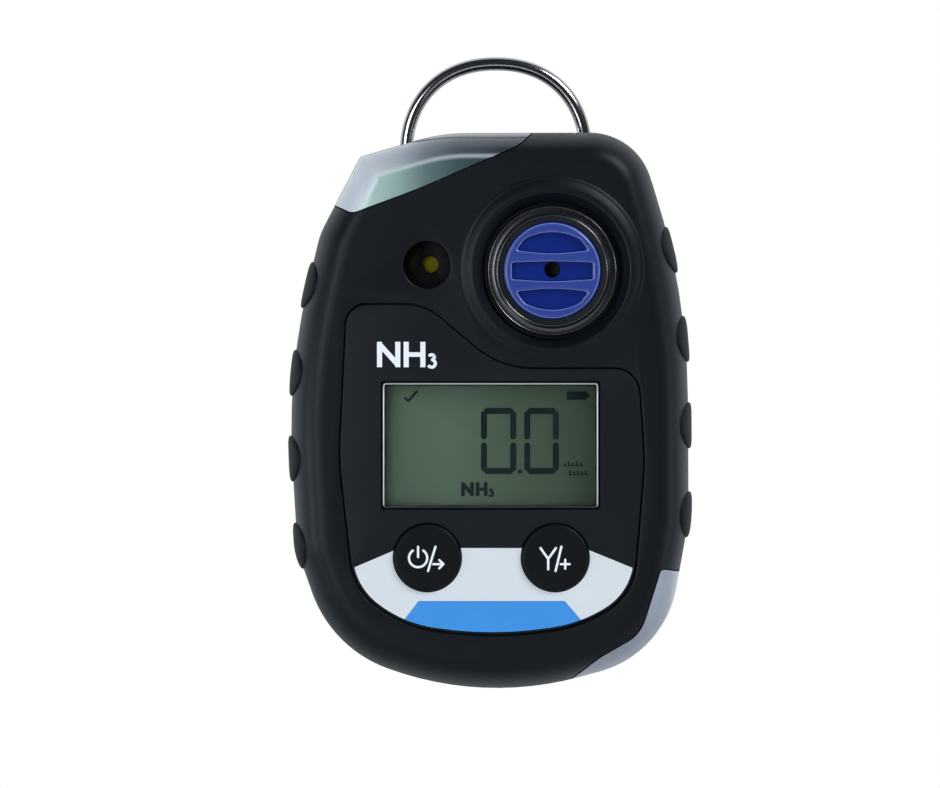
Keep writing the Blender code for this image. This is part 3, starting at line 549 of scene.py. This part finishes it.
def make_lens(name, node, corners, step, look):
    """A clear corner of the front shell: hollow behind, and set back from the outline by a step."""
    lens = case_half(name, FRONT_RIM_Y, FACE_Y, FRONT_EDGE)
    wall = 1.6
    carve(
        lens,
        ("INTERSECT", through(f"{name}_region", corners, SHELL_BACK_Y, LENS_GAP)),
        ("INTERSECT", through(f"{name}_edge", CASE, SHELL_BACK_Y, step)),
        ("DIFFERENCE", case_half(f"{name}_hollow", PARTING_Y + 1, FACE_Y + wall, 2.6, wall)),
    )
    piece(lens, look, stands_for=node)


# Grips -------------------------------------------------------------------------------------

SIDES = {"left": -1, "right": 1}
PAD_MIDDLES = {"left": (19.2, 5.5, -7.9, -21.5), "right": (24.7, 10.8, -2.7, -16.6)}
PAD_HALF, PAD_HEIGHT = 3.6, 0.5           # half its length along the side, and how far it stands out
PAD_POWER = 2.3                           # how square its oval is
SOCKET_GAP = 0.06


def case_inset(y):
    """How far the case's rounded edge is inside its outline at a depth."""
    if y <= PARTING_Y:
        return edge_inset((PARTING_Y - y) / (PARTING_Y - FACE_Y), FRONT_EDGE)
    return edge_inset((y - PARTING_Y) / (BACK_Y - PARTING_Y), REAR_EDGE)


def side_edge(sign):
    """One side of the case's outline, from bottom to top."""
    edge = outline(CASE)
    edge = edge[edge[:, 0] * sign > 15]
    return edge[np.argsort(edge[:, 1])]


SIDE_EDGES = {side: side_edge(sign) for side, sign in SIDES.items()}


def side_point(side, y, z, height):
    """A point that stands this high over the side of the case."""
    edge = SIDE_EDGES[side]
    half = abs(np.interp(z, edge[:, 1], edge[:, 0]))
    return SIDES[side] * (half - case_inset(min(max(y, FACE_Y), BACK_Y)) + height), y, z


def grip_pads(name, side, clearance=0.0):
    """The oval pads of one side. With a clearance they are the cutters of their sockets."""
    low, high = node_box(f"grip_{side}")
    middle_y, half_y = (low[1] + high[1]) / 2, (high[1] - low[1]) / 2
    if clearance:
        layers = [(1.0, -0.75), (1.0, 2.5)]
    else:
        layers = [(1.0, -0.6), (1.0, 0.0)]
        for k in range(1, 9):
            angle = math.radians(90 * k / 9)
            layers.append((math.cos(angle) ** 0.35, PAD_HEIGHT * math.sin(angle) ** 0.7))
        layers.append((0.25, PAD_HEIGHT))
    turns = [2 * math.pi * k / 72 for k in range(72)]
    pads = []
    for z in PAD_MIDDLES[side]:
        rings = []
        for share, height in layers:
            ring = []
            for c, s in ((math.cos(turn), math.sin(turn)) for turn in turns):
                along = math.copysign(abs(s) ** (2 / PAD_POWER), s) * (PAD_HALF * share + clearance)
                deep = math.copysign(abs(c) ** (2 / PAD_POWER), c) * (half_y * share + clearance)
                ring.append(side_point(side, middle_y + deep, z + along, height))
            rings.append(ring)
        pads.append(rings)
    return loft_all(name, pads)


def grip_sockets():
    return [("DIFFERENCE", grip_pads(f"sockets_{side}", side, SOCKET_GAP)) for side in SIDES]


def make_grips(finish):
    for side in SIDES:
        piece(grip_pads(f"side_grip_{side}", side), finish["grip"], stands_for=f"grip_{side}")


# Faceplate and films -----------------------------------------------------------------------

FILM_TOP, FILM_END = -21.8, -28.6         # height of the light film between the buttons, and at its left end
FILM_PEAK = -20.3                         # its height just outside each button
STRIP_TOP, STRIP_FOOT = -30.05, -36.5     # heights of the blue strip's top and of its hidden foot
FILM_MARGIN, RECESS_MARGIN = 0.5, 0.42    # from the panel's outline to the film, and to the recess it lies in
FILM_HOLE, PANEL_HOLE = 5.4, 5.45         # radii of the button holes


def film_region(grow=0.0):
    """Region of the light film: its top edge climbs to the two buttons."""
    left, right = BUTTONS["power"][0], BUTTONS["menu"][0]
    tip = 0.05
    return (
        (-30.0, FILM_END + grow, tip), (left - 0.8, FILM_PEAK + grow, tip),
        (left + 0.2, FILM_TOP + grow, tip), (right - 0.2, FILM_TOP + grow, tip),
        (right + 0.8, FILM_PEAK + grow, tip), (31.0, FILM_END + 0.1 + grow, tip),
        (31.0, -42.0, tip), (-30.0, -42.0, tip),
    )


def strip_region(grow=0.0):
    """Region of the blue strip, which widens downward."""
    return (
        (-11.1 - grow, STRIP_TOP + grow, 0.3), (11.6 + grow, STRIP_TOP + grow, 0.3),
        (17.2 + grow, STRIP_FOOT, 0.3), (-16.1 - grow, STRIP_FOOT, 0.3),
    )


def button_holes(radius):
    profile = ((radius, AHEAD_Y), (radius, PANEL_BACK_Y))
    return [("DIFFERENCE", turned(f"{name}_hole", profile, spot)) for name, spot in BUTTONS.items()]


def make_face(finish):
    """The dark panel, with the light film and the blue strip lying in a recess of it."""
    film_y, floor_y = LABEL_LOW[1], LABEL_HIGH[1]
    plate = slab("face_panel", FACE, PLATE_Y, PLATE_HIGH[1], 0.2, gap=GROOVE)
    low, high = node_box("display_bezel")
    opening = rectangle(low[[0, 2]] + 0.2, high[[0, 2]] - 0.2, 0.4)
    recess = carve(
        through("film_recess", FACE, floor_y, RECESS_MARGIN),
        ("INTERSECT", through("recess_region", film_region(0.05))),
    )
    steps = [("DIFFERENCE", through("window_hole", opening, step=8)), ("DIFFERENCE", recess)]
    carve(plate, *steps, *button_holes(PANEL_HOLE))
    piece(plate, finish["panel"], stands_for="faceplate")
    layers = ((floor_y - 0.02, FILM_MARGIN), (film_y, FILM_MARGIN))
    label = layered("keypad_film", FACE, layers)
    steps = [
        ("INTERSECT", through("label_region", film_region())),
        ("DIFFERENCE", through("label_notch", strip_region(0.02))),
    ]
    carve(label, *steps, *button_holes(FILM_HOLE))
    piece(label, finish["white_film"], stands_for="keypad_label")
    strip = carve(layered("blank_strip", FACE, layers), ("INTERSECT", through("strip_area", strip_region())))
    piece(strip, finish["blue_film"], stands_for="name_strip")
    make_window(finish)


def make_window(finish):
    """The window pane in its thin bright line."""
    low, high = WINDOW_LOW[[0, 2]], WINDOW_HIGH[[0, 2]]
    front, back = WINDOW_LOW[1], WINDOW_HIGH[1]
    bezel = slab("bezel_line", rectangle(low - 0.12, high + 0.12, 0.5), PLATE_Y, back, 0.12, 8)
    hole = through("bezel_hole", rectangle(low + 0.08, high - 0.08, 0.35), step=8)
    carve(bezel, ("DIFFERENCE", hole))
    piece(bezel, finish["bezel"], stands_for="display_bezel")
    pane = slab("window_pane", rectangle(low + 0.1, high - 0.1, 0.33), front, back, 0.05, 8)
    piece(pane, finish["window"], stands_for="display_window")


# Printing and display ----------------------------------------------------------------------

STACK = 0.0004                            # each stroke's front lies this far over the last one's
INK = 0.06                                # thickness of the printing


def ribbon(name, strokes, y, finish, body="case", at=(0, 0), thickness=INK, round_ends=True):
    """Printed strokes: each is a width and the x, z points that its middle line follows."""
    bm = bmesh.new()
    turns = np.linspace(0, 2 * math.pi, 17)[:-1]
    circle = np.stack([np.cos(turns), np.sin(turns)], axis=1)
    plates = []
    for width, points in strokes:
        points = np.array(points, float) + at
        for start, end in zip(points, points[1:]):
            along = (end - start) / np.linalg.norm(end - start)
            across = np.array([-along[1], along[0]]) * width / 2
            plates.append([start + across, start - across, end - across, end + across])
        for point in points if round_ends else points[1:-1]:
            plates.append(point + width / 2 * circle)
    for k, corners in enumerate(plates):
        add_plate(bm, corners, y, thickness + STACK * k)
    return piece(link_mesh(name, bm), finish, body)


def add_plate(bm, corners, y, thickness):
    front = [bm.verts.new(Vector((x, y - thickness, z)) * MM) for x, z in corners]
    back = [bm.verts.new(Vector((x, y, z)) * MM) for x, z in corners]
    bm.faces.new(front)
    bm.faces.new(back)
    for a in range(len(front)):
        b = (a + 1) % len(front)
        bm.faces.new((front[a], front[b], back[b], back[a]))


def arc(centre, radius, first, last, count=24):
    angles = np.radians(np.linspace(first, last, count))
    return [(centre[0] + radius * math.cos(a), centre[1] + radius * math.sin(a)) for a in angles]


def formula(left, base, cap, stroke):
    """The gas formula NH3 in plain strokes, sized by its capitals. Gives the letters and the index."""
    half, space = stroke / 2, 0.13 * cap
    n_left, n_right = left + half, left + 0.92 * cap - half
    h_left = n_right + half + space + half
    h_right = h_left + 0.86 * cap - stroke
    top, middle = base + cap, base + cap / 2
    letters = [(stroke, ((x, base), (x, top))) for x in (n_left, n_right)]
    letters.append((stroke, ((n_left, top - half), (n_right, base + half))))
    letters += [(stroke, ((x, base), (x, top))) for x in (h_left, h_right)]
    letters.append((stroke * 0.9, ((h_left, middle), (h_right, middle))))
    bowl, thin = 0.29 * cap / 2, stroke * 0.62
    x = h_right + half + 0.1 * cap + bowl
    upper = arc((x, base + 3 * bowl - thin / 3), bowl - thin / 3, 150, -90, 14)
    lower = arc((x, base + bowl), bowl, 90, -150, 14)
    return letters, [(thin, upper), (thin, lower)]


def digit_zero(left, base, width, height, stroke):
    """A seven-segment 0: two end segments and four side segments, with gaps at half height."""
    half, cut = stroke / 2, 0.95
    top, right, gap = base + height, left + width, 0.22
    middle = base + height / 2
    strokes = [
        (stroke, ((left + cut, top - half), (right - cut, top - half))),
        (stroke, ((left + cut, base + half), (right - cut, base + half))),
    ]
    for x in (left + half, right - half):
        strokes.append((stroke, ((x, middle + gap + half), (x, top - cut))))
        strokes.append((stroke, ((x, base + cut), (x, middle - gap - half))))
        inward = half if x < left + width / 2 else -half
        for z, lift in ((top - cut, 1), (base + cut, -1)):
            strokes.append((stroke * 0.8, ((x, z), (x + inward * 1.1, z + lift * (cut - half)))))
    return strokes


DIGIT_BASE, DIGIT_HEIGHT, DIGIT_STROKE = -10.3, 10.3, 0.95


def make_display(finish):
    """The LCD with its reading, a tick, a battery, the formula and two rows of unit marks."""
    low, high = node_box("lcd_glass")
    y = low[1] + 0.1
    panel = slab("lcd_panel", rectangle(low[[0, 2]], high[[0, 2]], 0.4), y, high[1], 0.1, 10)
    piece(panel, finish["lcd"], stands_for="lcd_glass")
    digits = []
    for left, width in ((-1.43, 5.5), (5.3, 5.4)):
        digits += digit_zero(left, DIGIT_BASE, width, DIGIT_HEIGHT, DIGIT_STROKE)
    digits.append((0.6, ((4.55, -9.9), (4.7, -9.9))))
    ribbon("lcd_digits", digits, y, finish["ink"])
    letters, small = formula(-4.5, -13.7, 2.15, 0.58)
    tick = [(0.38, ((-13.3, 1.6), (-12.75, 1.05), (-11.35, 2.6)))]
    battery = [(1.3, ((11.9, 1.9), (15.0, 1.9))), (0.5, ((15.2, 1.6), (15.2, 2.2)))]
    ribbon("lcd_icons", letters + small + tick + battery, y, finish["ink"], round_ends=False)
    marks = []
    for row, (start, base) in enumerate(((11.6, -9.1), (12.4, -10.5))):
        for k in range(5):
            x = start + 0.62 * k
            marks.append((0.26, ((x, base), (x, base + (0.8 if (k + row) % 2 else 0.55)))))
            marks.append((0.16, ((x, base + 0.1), (x + 0.4, base + 0.1))))
    ribbon("lcd_unit_marks", marks, y, finish["ink"], thickness=0.05, round_ends=False)


LINE, THIN_LINE = 0.36, 0.34              # widths of the button signs' strokes
POWER_SIGN = (                            # round the button's middle: ring, bar, slash, arrow and its head
    (LINE, arc((-1.45, -0.05), 1.42, 55, -235, 30)),
    (LINE, ((-1.45, 1.7), (-1.45, 0.1))),
    (LINE, ((1.25, 1.7), (0.1, -2.05))),
    (THIN_LINE, ((0.9, -1.0), (2.45, -1.0))),
    (THIN_LINE, ((1.85, -0.35), (2.5, -1.0), (1.85, -1.65))),
)
MENU_SIGN = (                             # round the button's middle: Y, its stem, slash and plus
    (LINE, ((-2.3, 1.5), (-1.1, -0.2), (0.1, 1.5))),
    (LINE, ((-1.1, -0.2), (-1.1, -1.8))),
    (LINE, ((0.95, 1.7), (0.05, -2.05))),
    (THIN_LINE, ((0.85, -1.0), (2.25, -1.0))),
    (THIN_LINE, ((1.55, -0.3), (1.55, -1.7))),
)


def make_printing(finish):
    letters, small = formula(-17.6, 6.35, 3.95, 0.8)
    for name, strokes in (("panel_formula", letters), ("panel_formula_index", small)):
        ribbon(name, strokes, PLATE_Y, finish["print"], thickness=0.05, round_ends=False)
    top = node_box("power_button")[0][1] + INK
    for name, sign in (("power", POWER_SIGN), ("menu", MENU_SIGN)):
        at = BUTTONS[name][[0, 2]]
        ribbon(f"{name}_icon", sign, top, finish["print"], f"{name}_button", at)


# Front controls and sensor -----------------------------------------------------------------

BUTTON_RADIUS, FLANGE_RADIUS = 5.25, 5.7
BUTTON_EDGE = 0.55                        # radius of the rounding round the button's top


def make_buttons(finish):
    """Rubber caps on a hidden flange, each with a very shallow dish on top."""
    for name, spot in BUTTONS.items():
        low, high = node_box(f"{name}_button")
        top, back = low[1], high[1]
        profile = [(FLANGE_RADIUS, back - 0.4), (FLANGE_RADIUS, back - 0.9), (BUTTON_RADIUS, back - 0.95)]
        for across, down in quarter_round(6, 0):
            profile.append((BUTTON_RADIUS - BUTTON_EDGE * across, top + BUTTON_EDGE * down))
        profile += [(3.6, top + 0.03), (2.0, top + 0.05), (0.6, top + 0.06)]
        cap = turned(f"{name}_cap", profile, spot)
        piece(cap, finish["button"], f"{name}_button", f"{name}_button")


FIELD_DEPTH, FIELD_LIP = 0.8, 0.36        # the disc's sunk fields and their rounded lips
RIM_RADIUS, RIM_WIDTH, RIM_DROP = 7.6, 0.6, 1.0
GAS_HOLE = 1.25
TOP_FIELD = (                             # round the disc's middle, like the two below
    (-5.6, 3.15, 0.2), (0.0, 2.45, 28), (5.6, 3.15, 0.2),
    (4.3, 4.9, 2.0), (0.0, 6.9, 9), (-4.3, 4.9, 2.0),
)
BOTTOM_FIELD = tuple((x, -z - 0.15, radius) for x, z, radius in TOP_FIELD)
BAND = (
    (-6.3, -1.35, 0.3), (0.0, -1.75, 30), (6.3, -1.35, 0.3),
    (6.3, 1.25, 0.3), (0.0, 1.45, 30), (-6.3, 1.25, 0.3),
)


def ring_lip(inner, outer, top):
    """Profile of a lip between two radii: a flank that slopes outward, and a small round top."""
    width = outer - inner
    shares = ((1.0, 0.8), (0.97, 0.66), (0.35, 0.14), (0.24, 0.04), (0.12, 0.0), (0.03, 0.06), (0.0, 0.2))
    return [(inner + across * width, top + down * width) for across, down in shares]


def make_inlet_ring(finish):
    """The glossy ring round the disc, with an outer and an inner lip."""
    low, high = node_box("inlet_ring")
    top, base = low[1], high[1]
    profile = ring_lip(9.85, 10.38, top) + [(9.82, top + 0.5), (9.12, top + 0.5)]
    profile += ring_lip(8.5, 9.08, top + 0.02)
    profile += [(8.48, base - 0.1), (7.72, base - 0.08), (7.72, base), (10.38, base)]
    ring = turned("inlet_lip", profile, SENSOR, ROUND, ring=True)
    piece(ring, finish["ring"], stands_for="inlet_ring")


def make_inlet(finish):
    """The blue disc: two sunk fields and a sunk band, with the gas hole in its middle."""
    top, base = INLET_Y, node_box("inlet_grille")[1][1]
    profile = [(9.8, base), (9.8, base - 0.5), (8.5, base - 0.55)]
    profile += [(8.5, top + RIM_DROP + 0.05), (RIM_RADIUS, top + RIM_DROP)]
    for across, down in quarter_round(12):
        profile.append((RIM_RADIUS - RIM_WIDTH * across, top + RIM_DROP * down))
    disc = turned("inlet_disc", profile, SENSOR, ROUND)
    middle = SENSOR[[0, 2]]
    steps = []
    for i, field in enumerate((TOP_FIELD, BOTTOM_FIELD, BAND)):
        cutter = lip_cutter(f"field_{i}", field, top + FIELD_DEPTH, top, FIELD_LIP, middle, 5)
        steps.append(("DIFFERENCE", cutter))
    hole = ((GAS_HOLE, AHEAD_Y), (GAS_HOLE, base + 1))
    steps.append(("DIFFERENCE", turned("gas_hole", hole, SENSOR + (0, 0, 0.15), 40)))
    carve(disc, *steps)
    piece(disc, finish["inlet"], stands_for="inlet_grille")


def make_sounder(finish):
    """The sounder's can. Its outlet is a little off the middle of the port."""
    low, high = node_box("sounder_case")
    radius, front, back = (high[0] - low[0]) / 2, low[1], high[1]
    profile = [(radius, back), (radius, front + 0.4), (radius - 0.12, front + 0.12), (radius - 0.4, front)]
    can = turned("sounder_can", profile, SOUNDER, 80)
    hole = [(1.3, -19.9), (1.3, front + 0.15), (1.36, front + 0.05), (1.45, front), (1.45, front - 1)]
    chamber = ((5.6, -18.6), (5.6, -20.0))
    carve(
        can,
        ("DIFFERENCE", turned("outlet", hole, SOUNDER + (0.5, 0, 0.05), 48)),
        ("DIFFERENCE", turned("chamber", chamber, SOUNDER, SMALL_ROUND)),
    )
    piece(can, finish["chip"], stands_for="sounder_case")


# Bail, clip and back -----------------------------------------------------------------------

def sweep(name, path, radius, sides=20, closed=False):
    """A round wire along a path, kept from twisting."""
    path = [Vector(point) for point in path]
    count = len(path)
    rings = []
    normal = None
    for i, point in enumerate(path):
        before = path[i - 1] if i or closed else point
        after = path[(i + 1) % count] if i < count - 1 or closed else point
        along = (after - before).normalized()
        if normal is None:
            normal = along.orthogonal().normalized()
        normal = (normal - along * normal.dot(along)).normalized()
        across = along.cross(normal)
        turns = [2 * math.pi * k / sides for k in range(sides)]
        rings.append([point + (normal * math.cos(a) + across * math.sin(a)) * float(radius) for a in turns])
    return loft(name, rings, closed=closed)


BAIL_LEG, BAIL_CORNER = 4.7, 2.3          # from the bar up to the hoop, and the bend between bar and leg
BAIL_POWER = 2.2                          # how square the hoop's shoulders are


def make_bail(finish):
    """The wire ring: a round-shouldered hoop, two short legs and a straight bar in the barrel."""
    low, high = node_box("bail")
    wire = (high[1] - low[1]) / 2
    x, y, _ = (low + high) / 2
    half, axis_z, top = (high[0] - low[0]) / 2 - wire, low[2] + wire, high[2] - wire
    shoulder = axis_z + BAIL_LEG
    path = []
    for angle in np.linspace(0, math.pi, 65):
        c, s = math.cos(angle), math.sin(angle)
        across = half * math.copysign(abs(c) ** (2 / BAIL_POWER), c)
        path.append((x + across, y, shoulder + (top - shoulder) * s ** (2 / BAIL_POWER)))
    bend = [
        (half - BAIL_CORNER * (1 - math.cos(angle)), axis_z + BAIL_CORNER * (1 - math.sin(angle)))
        for angle in np.linspace(0, math.pi / 2, 9)
    ]
    path += [(x - across, y, z) for across, z in bend]
    path += [(x + across, y, z) for across, z in reversed(bend)]
    hoop = sweep("bail_wire", path, wire, 28, closed=True)
    piece(hoop, finish["chrome"], "bail", "bail")


def refined(node, name, finish, slot, body="case", edge=0.12):
    """A CAD node's own form with its edges softened."""
    sharp, weld = 40, 0.002
    bm = bmesh.new()
    bm.from_mesh(frame["nodes"][node].data)
    bmesh.ops.remove_doubles(bm, verts=bm.verts, dist=weld * MM)
    bmesh.ops.dissolve_limit(bm, angle_limit=math.radians(1), verts=bm.verts, edges=bm.edges)
    made = link_mesh(name, bm, sharp)
    bevel = made.modifiers.new("edges", "BEVEL")
    bevel.width = edge * MM
    bevel.segments = 3
    bevel.limit_method = "ANGLE"
    bevel.angle_limit = math.radians(sharp)
    bevel.use_clamp_overlap = True
    made.data = evaluated_mesh(made)
    made.modifiers.clear()
    made.data.shade_smooth()
    made.data.set_sharp_from_angle(angle=math.radians(sharp))
    return piece(made, finish[slot], body, node)


def make_back(finish):
    """The clip, the screws and the blank label."""
    refined("clip_plate", "clip_base", finish, "steel")
    refined("clip_jaw", "clip_lever", finish, "steel", "jaw")
    refined("clip_pin", "clip_pivot", finish, "steel", edge=0.2)
    for level in ("upper", "lower"):
        refined(f"clip_screw_{level}", f"clip_fastener_{level}", finish, "steel", edge=0.05)
    for i in range(1, 5):
        refined(f"housing_screw_{i}", f"case_fastener_{i}", finish, "steel", edge=0.06)
    low, high = node_box("rating_label")
    plate = slab("back_label", rectangle(low[[0, 2]], high[[0, 2]], 1.5), -high[1], -low[1], 0.06, 8)
    plate.data.transform(Matrix.Scale(-1, 4, (0, 1, 0)))  # mirrored, as a slab's front faces forward
    plate.data.flip_normals()
    piece(plate, finish["rating"], stands_for="rating_label")
    make_clip_spring(finish)


def make_clip_spring(finish):
    """A torsion spring round the clip pin. One leg rests on the plate, and the other goes with the jaw."""
    _, y, z = node_middle("clip_pin")
    radius, turns, wire, half = 1.45, 4, 0.25, 1.5
    leave, reach = math.radians(26.6), 9.5  # the jaw's leg: its slope and its length
    foot = (-half, y - 2.8, z - 8.2)
    path = [foot]
    for share in np.linspace(0, 1, 28 * turns + 1):
        angle = (2 * math.pi * turns + leave) * share
        path.append((half * (2 * share - 1), y - radius * math.cos(angle), z + radius * math.sin(angle)))
    end = path[-1]
    path.append((end[0], end[1] + reach * math.sin(leave), end[2] + reach * math.cos(leave)))
    coil = half - wire
    across = ("case", "jaw", Vector((-coil, y, z)) * MM, Vector((coil, y, z)) * MM)
    piece(sweep("jaw_spring", path, wire, 10), finish["steel"], across, "clip_spring")


def dress_inner_nodes(finish):
    """CAD nodes that stay: each takes the procedural finish of its slot."""
    slots = {entry["node"]: entry["material_slot"] for entry in frame["record"]["subparts"]}
    for name, made in frame["nodes"].items():
        if made.hide_render:
            continue
        made.data.materials.clear()
        made.data.materials.append(finish[slots[name]])


# Stage -------------------------------------------------------------------------------------

VIEW_MIDDLE = (-3.12, 2.18)               # x and z at the middle of the view
VIEW_WIDTH, VIEW_DISTANCE = 146.64, 3200.0
VIEW_DEPTH = -16.0                        # the depth at which the view is that wide
SENSOR_WIDTH = 36.0
FLOOR_DROP, FLOOR_RADIUS = 0.06, 0.62     # metres: from the part down to the floor, and the floor's radius


def make_camera():
    """A long lens straight on, so that the picture is nearly without perspective."""
    data = bpy.data.cameras.new("camera")
    data.sensor_width = SENSOR_WIDTH
    data.lens = SENSOR_WIDTH * VIEW_DISTANCE / VIEW_WIDTH
    data.clip_start, data.clip_end = 0.05, 20
    camera = bpy.data.objects.new("camera", data)
    camera.location = Vector((VIEW_MIDDLE[0], VIEW_DEPTH - VIEW_DISTANCE, VIEW_MIDDLE[1])) * MM
    camera.rotation_euler = (math.radians(90), 0, 0)
    bpy.context.scene.collection.objects.link(camera)
    bpy.context.scene.camera = camera


def make_light(name, place, size, watts, colour=(0.93, 0.98, 1.05)):
    """A soft box that faces the part. Its place and size are in metres."""
    data = bpy.data.lights.new(name, "AREA")
    data.shape = "RECTANGLE"
    data.size, data.size_y = size
    data.energy = watts
    data.color = colour
    light = bpy.data.objects.new(name, data)
    light.location = place
    light.rotation_mode = "QUATERNION"
    light.rotation_quaternion = (-Vector(place)).to_track_quat("-Z", "Y")
    bpy.context.scene.collection.objects.link(light)


def make_world():
    """White where the view looks past the object; for light, bright behind it and dim in front."""
    world = bpy.data.worlds.new("studio")
    bpy.context.scene.world = world
    world.use_nodes = True
    nodes, links = world.node_tree.nodes, world.node_tree.links
    nodes.clear()
    output = nodes.new("ShaderNodeOutputWorld")
    paper, room = nodes.new("ShaderNodeBackground"), nodes.new("ShaderNodeBackground")
    mix = nodes.new("ShaderNodeMixShader")
    paper.inputs["Color"].default_value = (1, 1, 1, 1)
    paper.inputs["Strength"].default_value = 1.0
    room.inputs["Strength"].default_value = 1.0
    coords, split = nodes.new("ShaderNodeTexCoord"), nodes.new("ShaderNodeSeparateXYZ")
    ramp = nodes.new("ShaderNodeValToRGB")
    for element, (place, value) in zip(ramp.color_ramp.elements, ((0.47, 0.03), (0.68, 0.8))):
        element.position = place
        element.color = (value * 0.94, value, value * 1.06, 1)
    turn = nodes.new("ShaderNodeMapRange")
    turn.inputs["From Min"].default_value = -1
    links.new(coords.outputs["Generated"], split.inputs[0])
    links.new(split.outputs["Y"], turn.inputs["Value"])
    links.new(turn.outputs["Result"], ramp.inputs["Fac"])
    links.new(ramp.outputs["Color"], room.inputs["Color"])
    path = nodes.new("ShaderNodeLightPath")
    links.new(path.outputs["Is Camera Ray"], mix.inputs["Fac"])
    links.new(room.outputs[0], mix.inputs[1])
    links.new(paper.outputs[0], mix.inputs[2])
    links.new(mix.outputs[0], output.inputs["Surface"])


def make_stage(finish):
    make_camera()
    make_world()
    make_light("left", (-1.0, -0.22, -0.25), (0.6, 0.5), 9.0, (0.84, 0.98, 1.12))
    make_light("right", (1.0, -0.22, -0.2), (0.5, 0.5), 3.6, (0.88, 0.98, 1.08))
    make_light("crest", (0.55, -0.42, 0.62), (0.35, 0.35), 5.8)
    make_light("fill", (-0.55, -0.85, 0.1), (0.5, 0.5), 4.2)
    bm = bmesh.new()
    rim = arc((0, 0), FLOOR_RADIUS, 0, 360, 65)[:-1]
    bm.faces.new([bm.verts.new((x, y, CAD_BOX[0][2] - FLOOR_DROP)) for x, y in rim])
    floor = link_mesh("floor", bm)
    floor.data.materials.append(finish["floor"])
    bpy.context.scene.view_settings.view_transform = "Standard"


def main():
    finish = make_finishes()
    make_stage(finish)
    make_front_shell(finish)
    make_rear_shell(finish)
    make_lens("top_light", "alarm_lens_top", TOP_LENS, 0.15, finish["lens"])
    make_lens("bottom_light", "alarm_lens_bottom", BOTTOM_LENS, 0.0, finish["low_lens"])
    make_grips(finish)
    make_face(finish)
    make_display(finish)
    make_printing(finish)
    make_buttons(finish)
    make_inlet_ring(finish)
    make_inlet(finish)
    make_sounder(finish)
    make_bail(finish)
    make_back(finish)
    dress_inner_nodes(finish)


main()
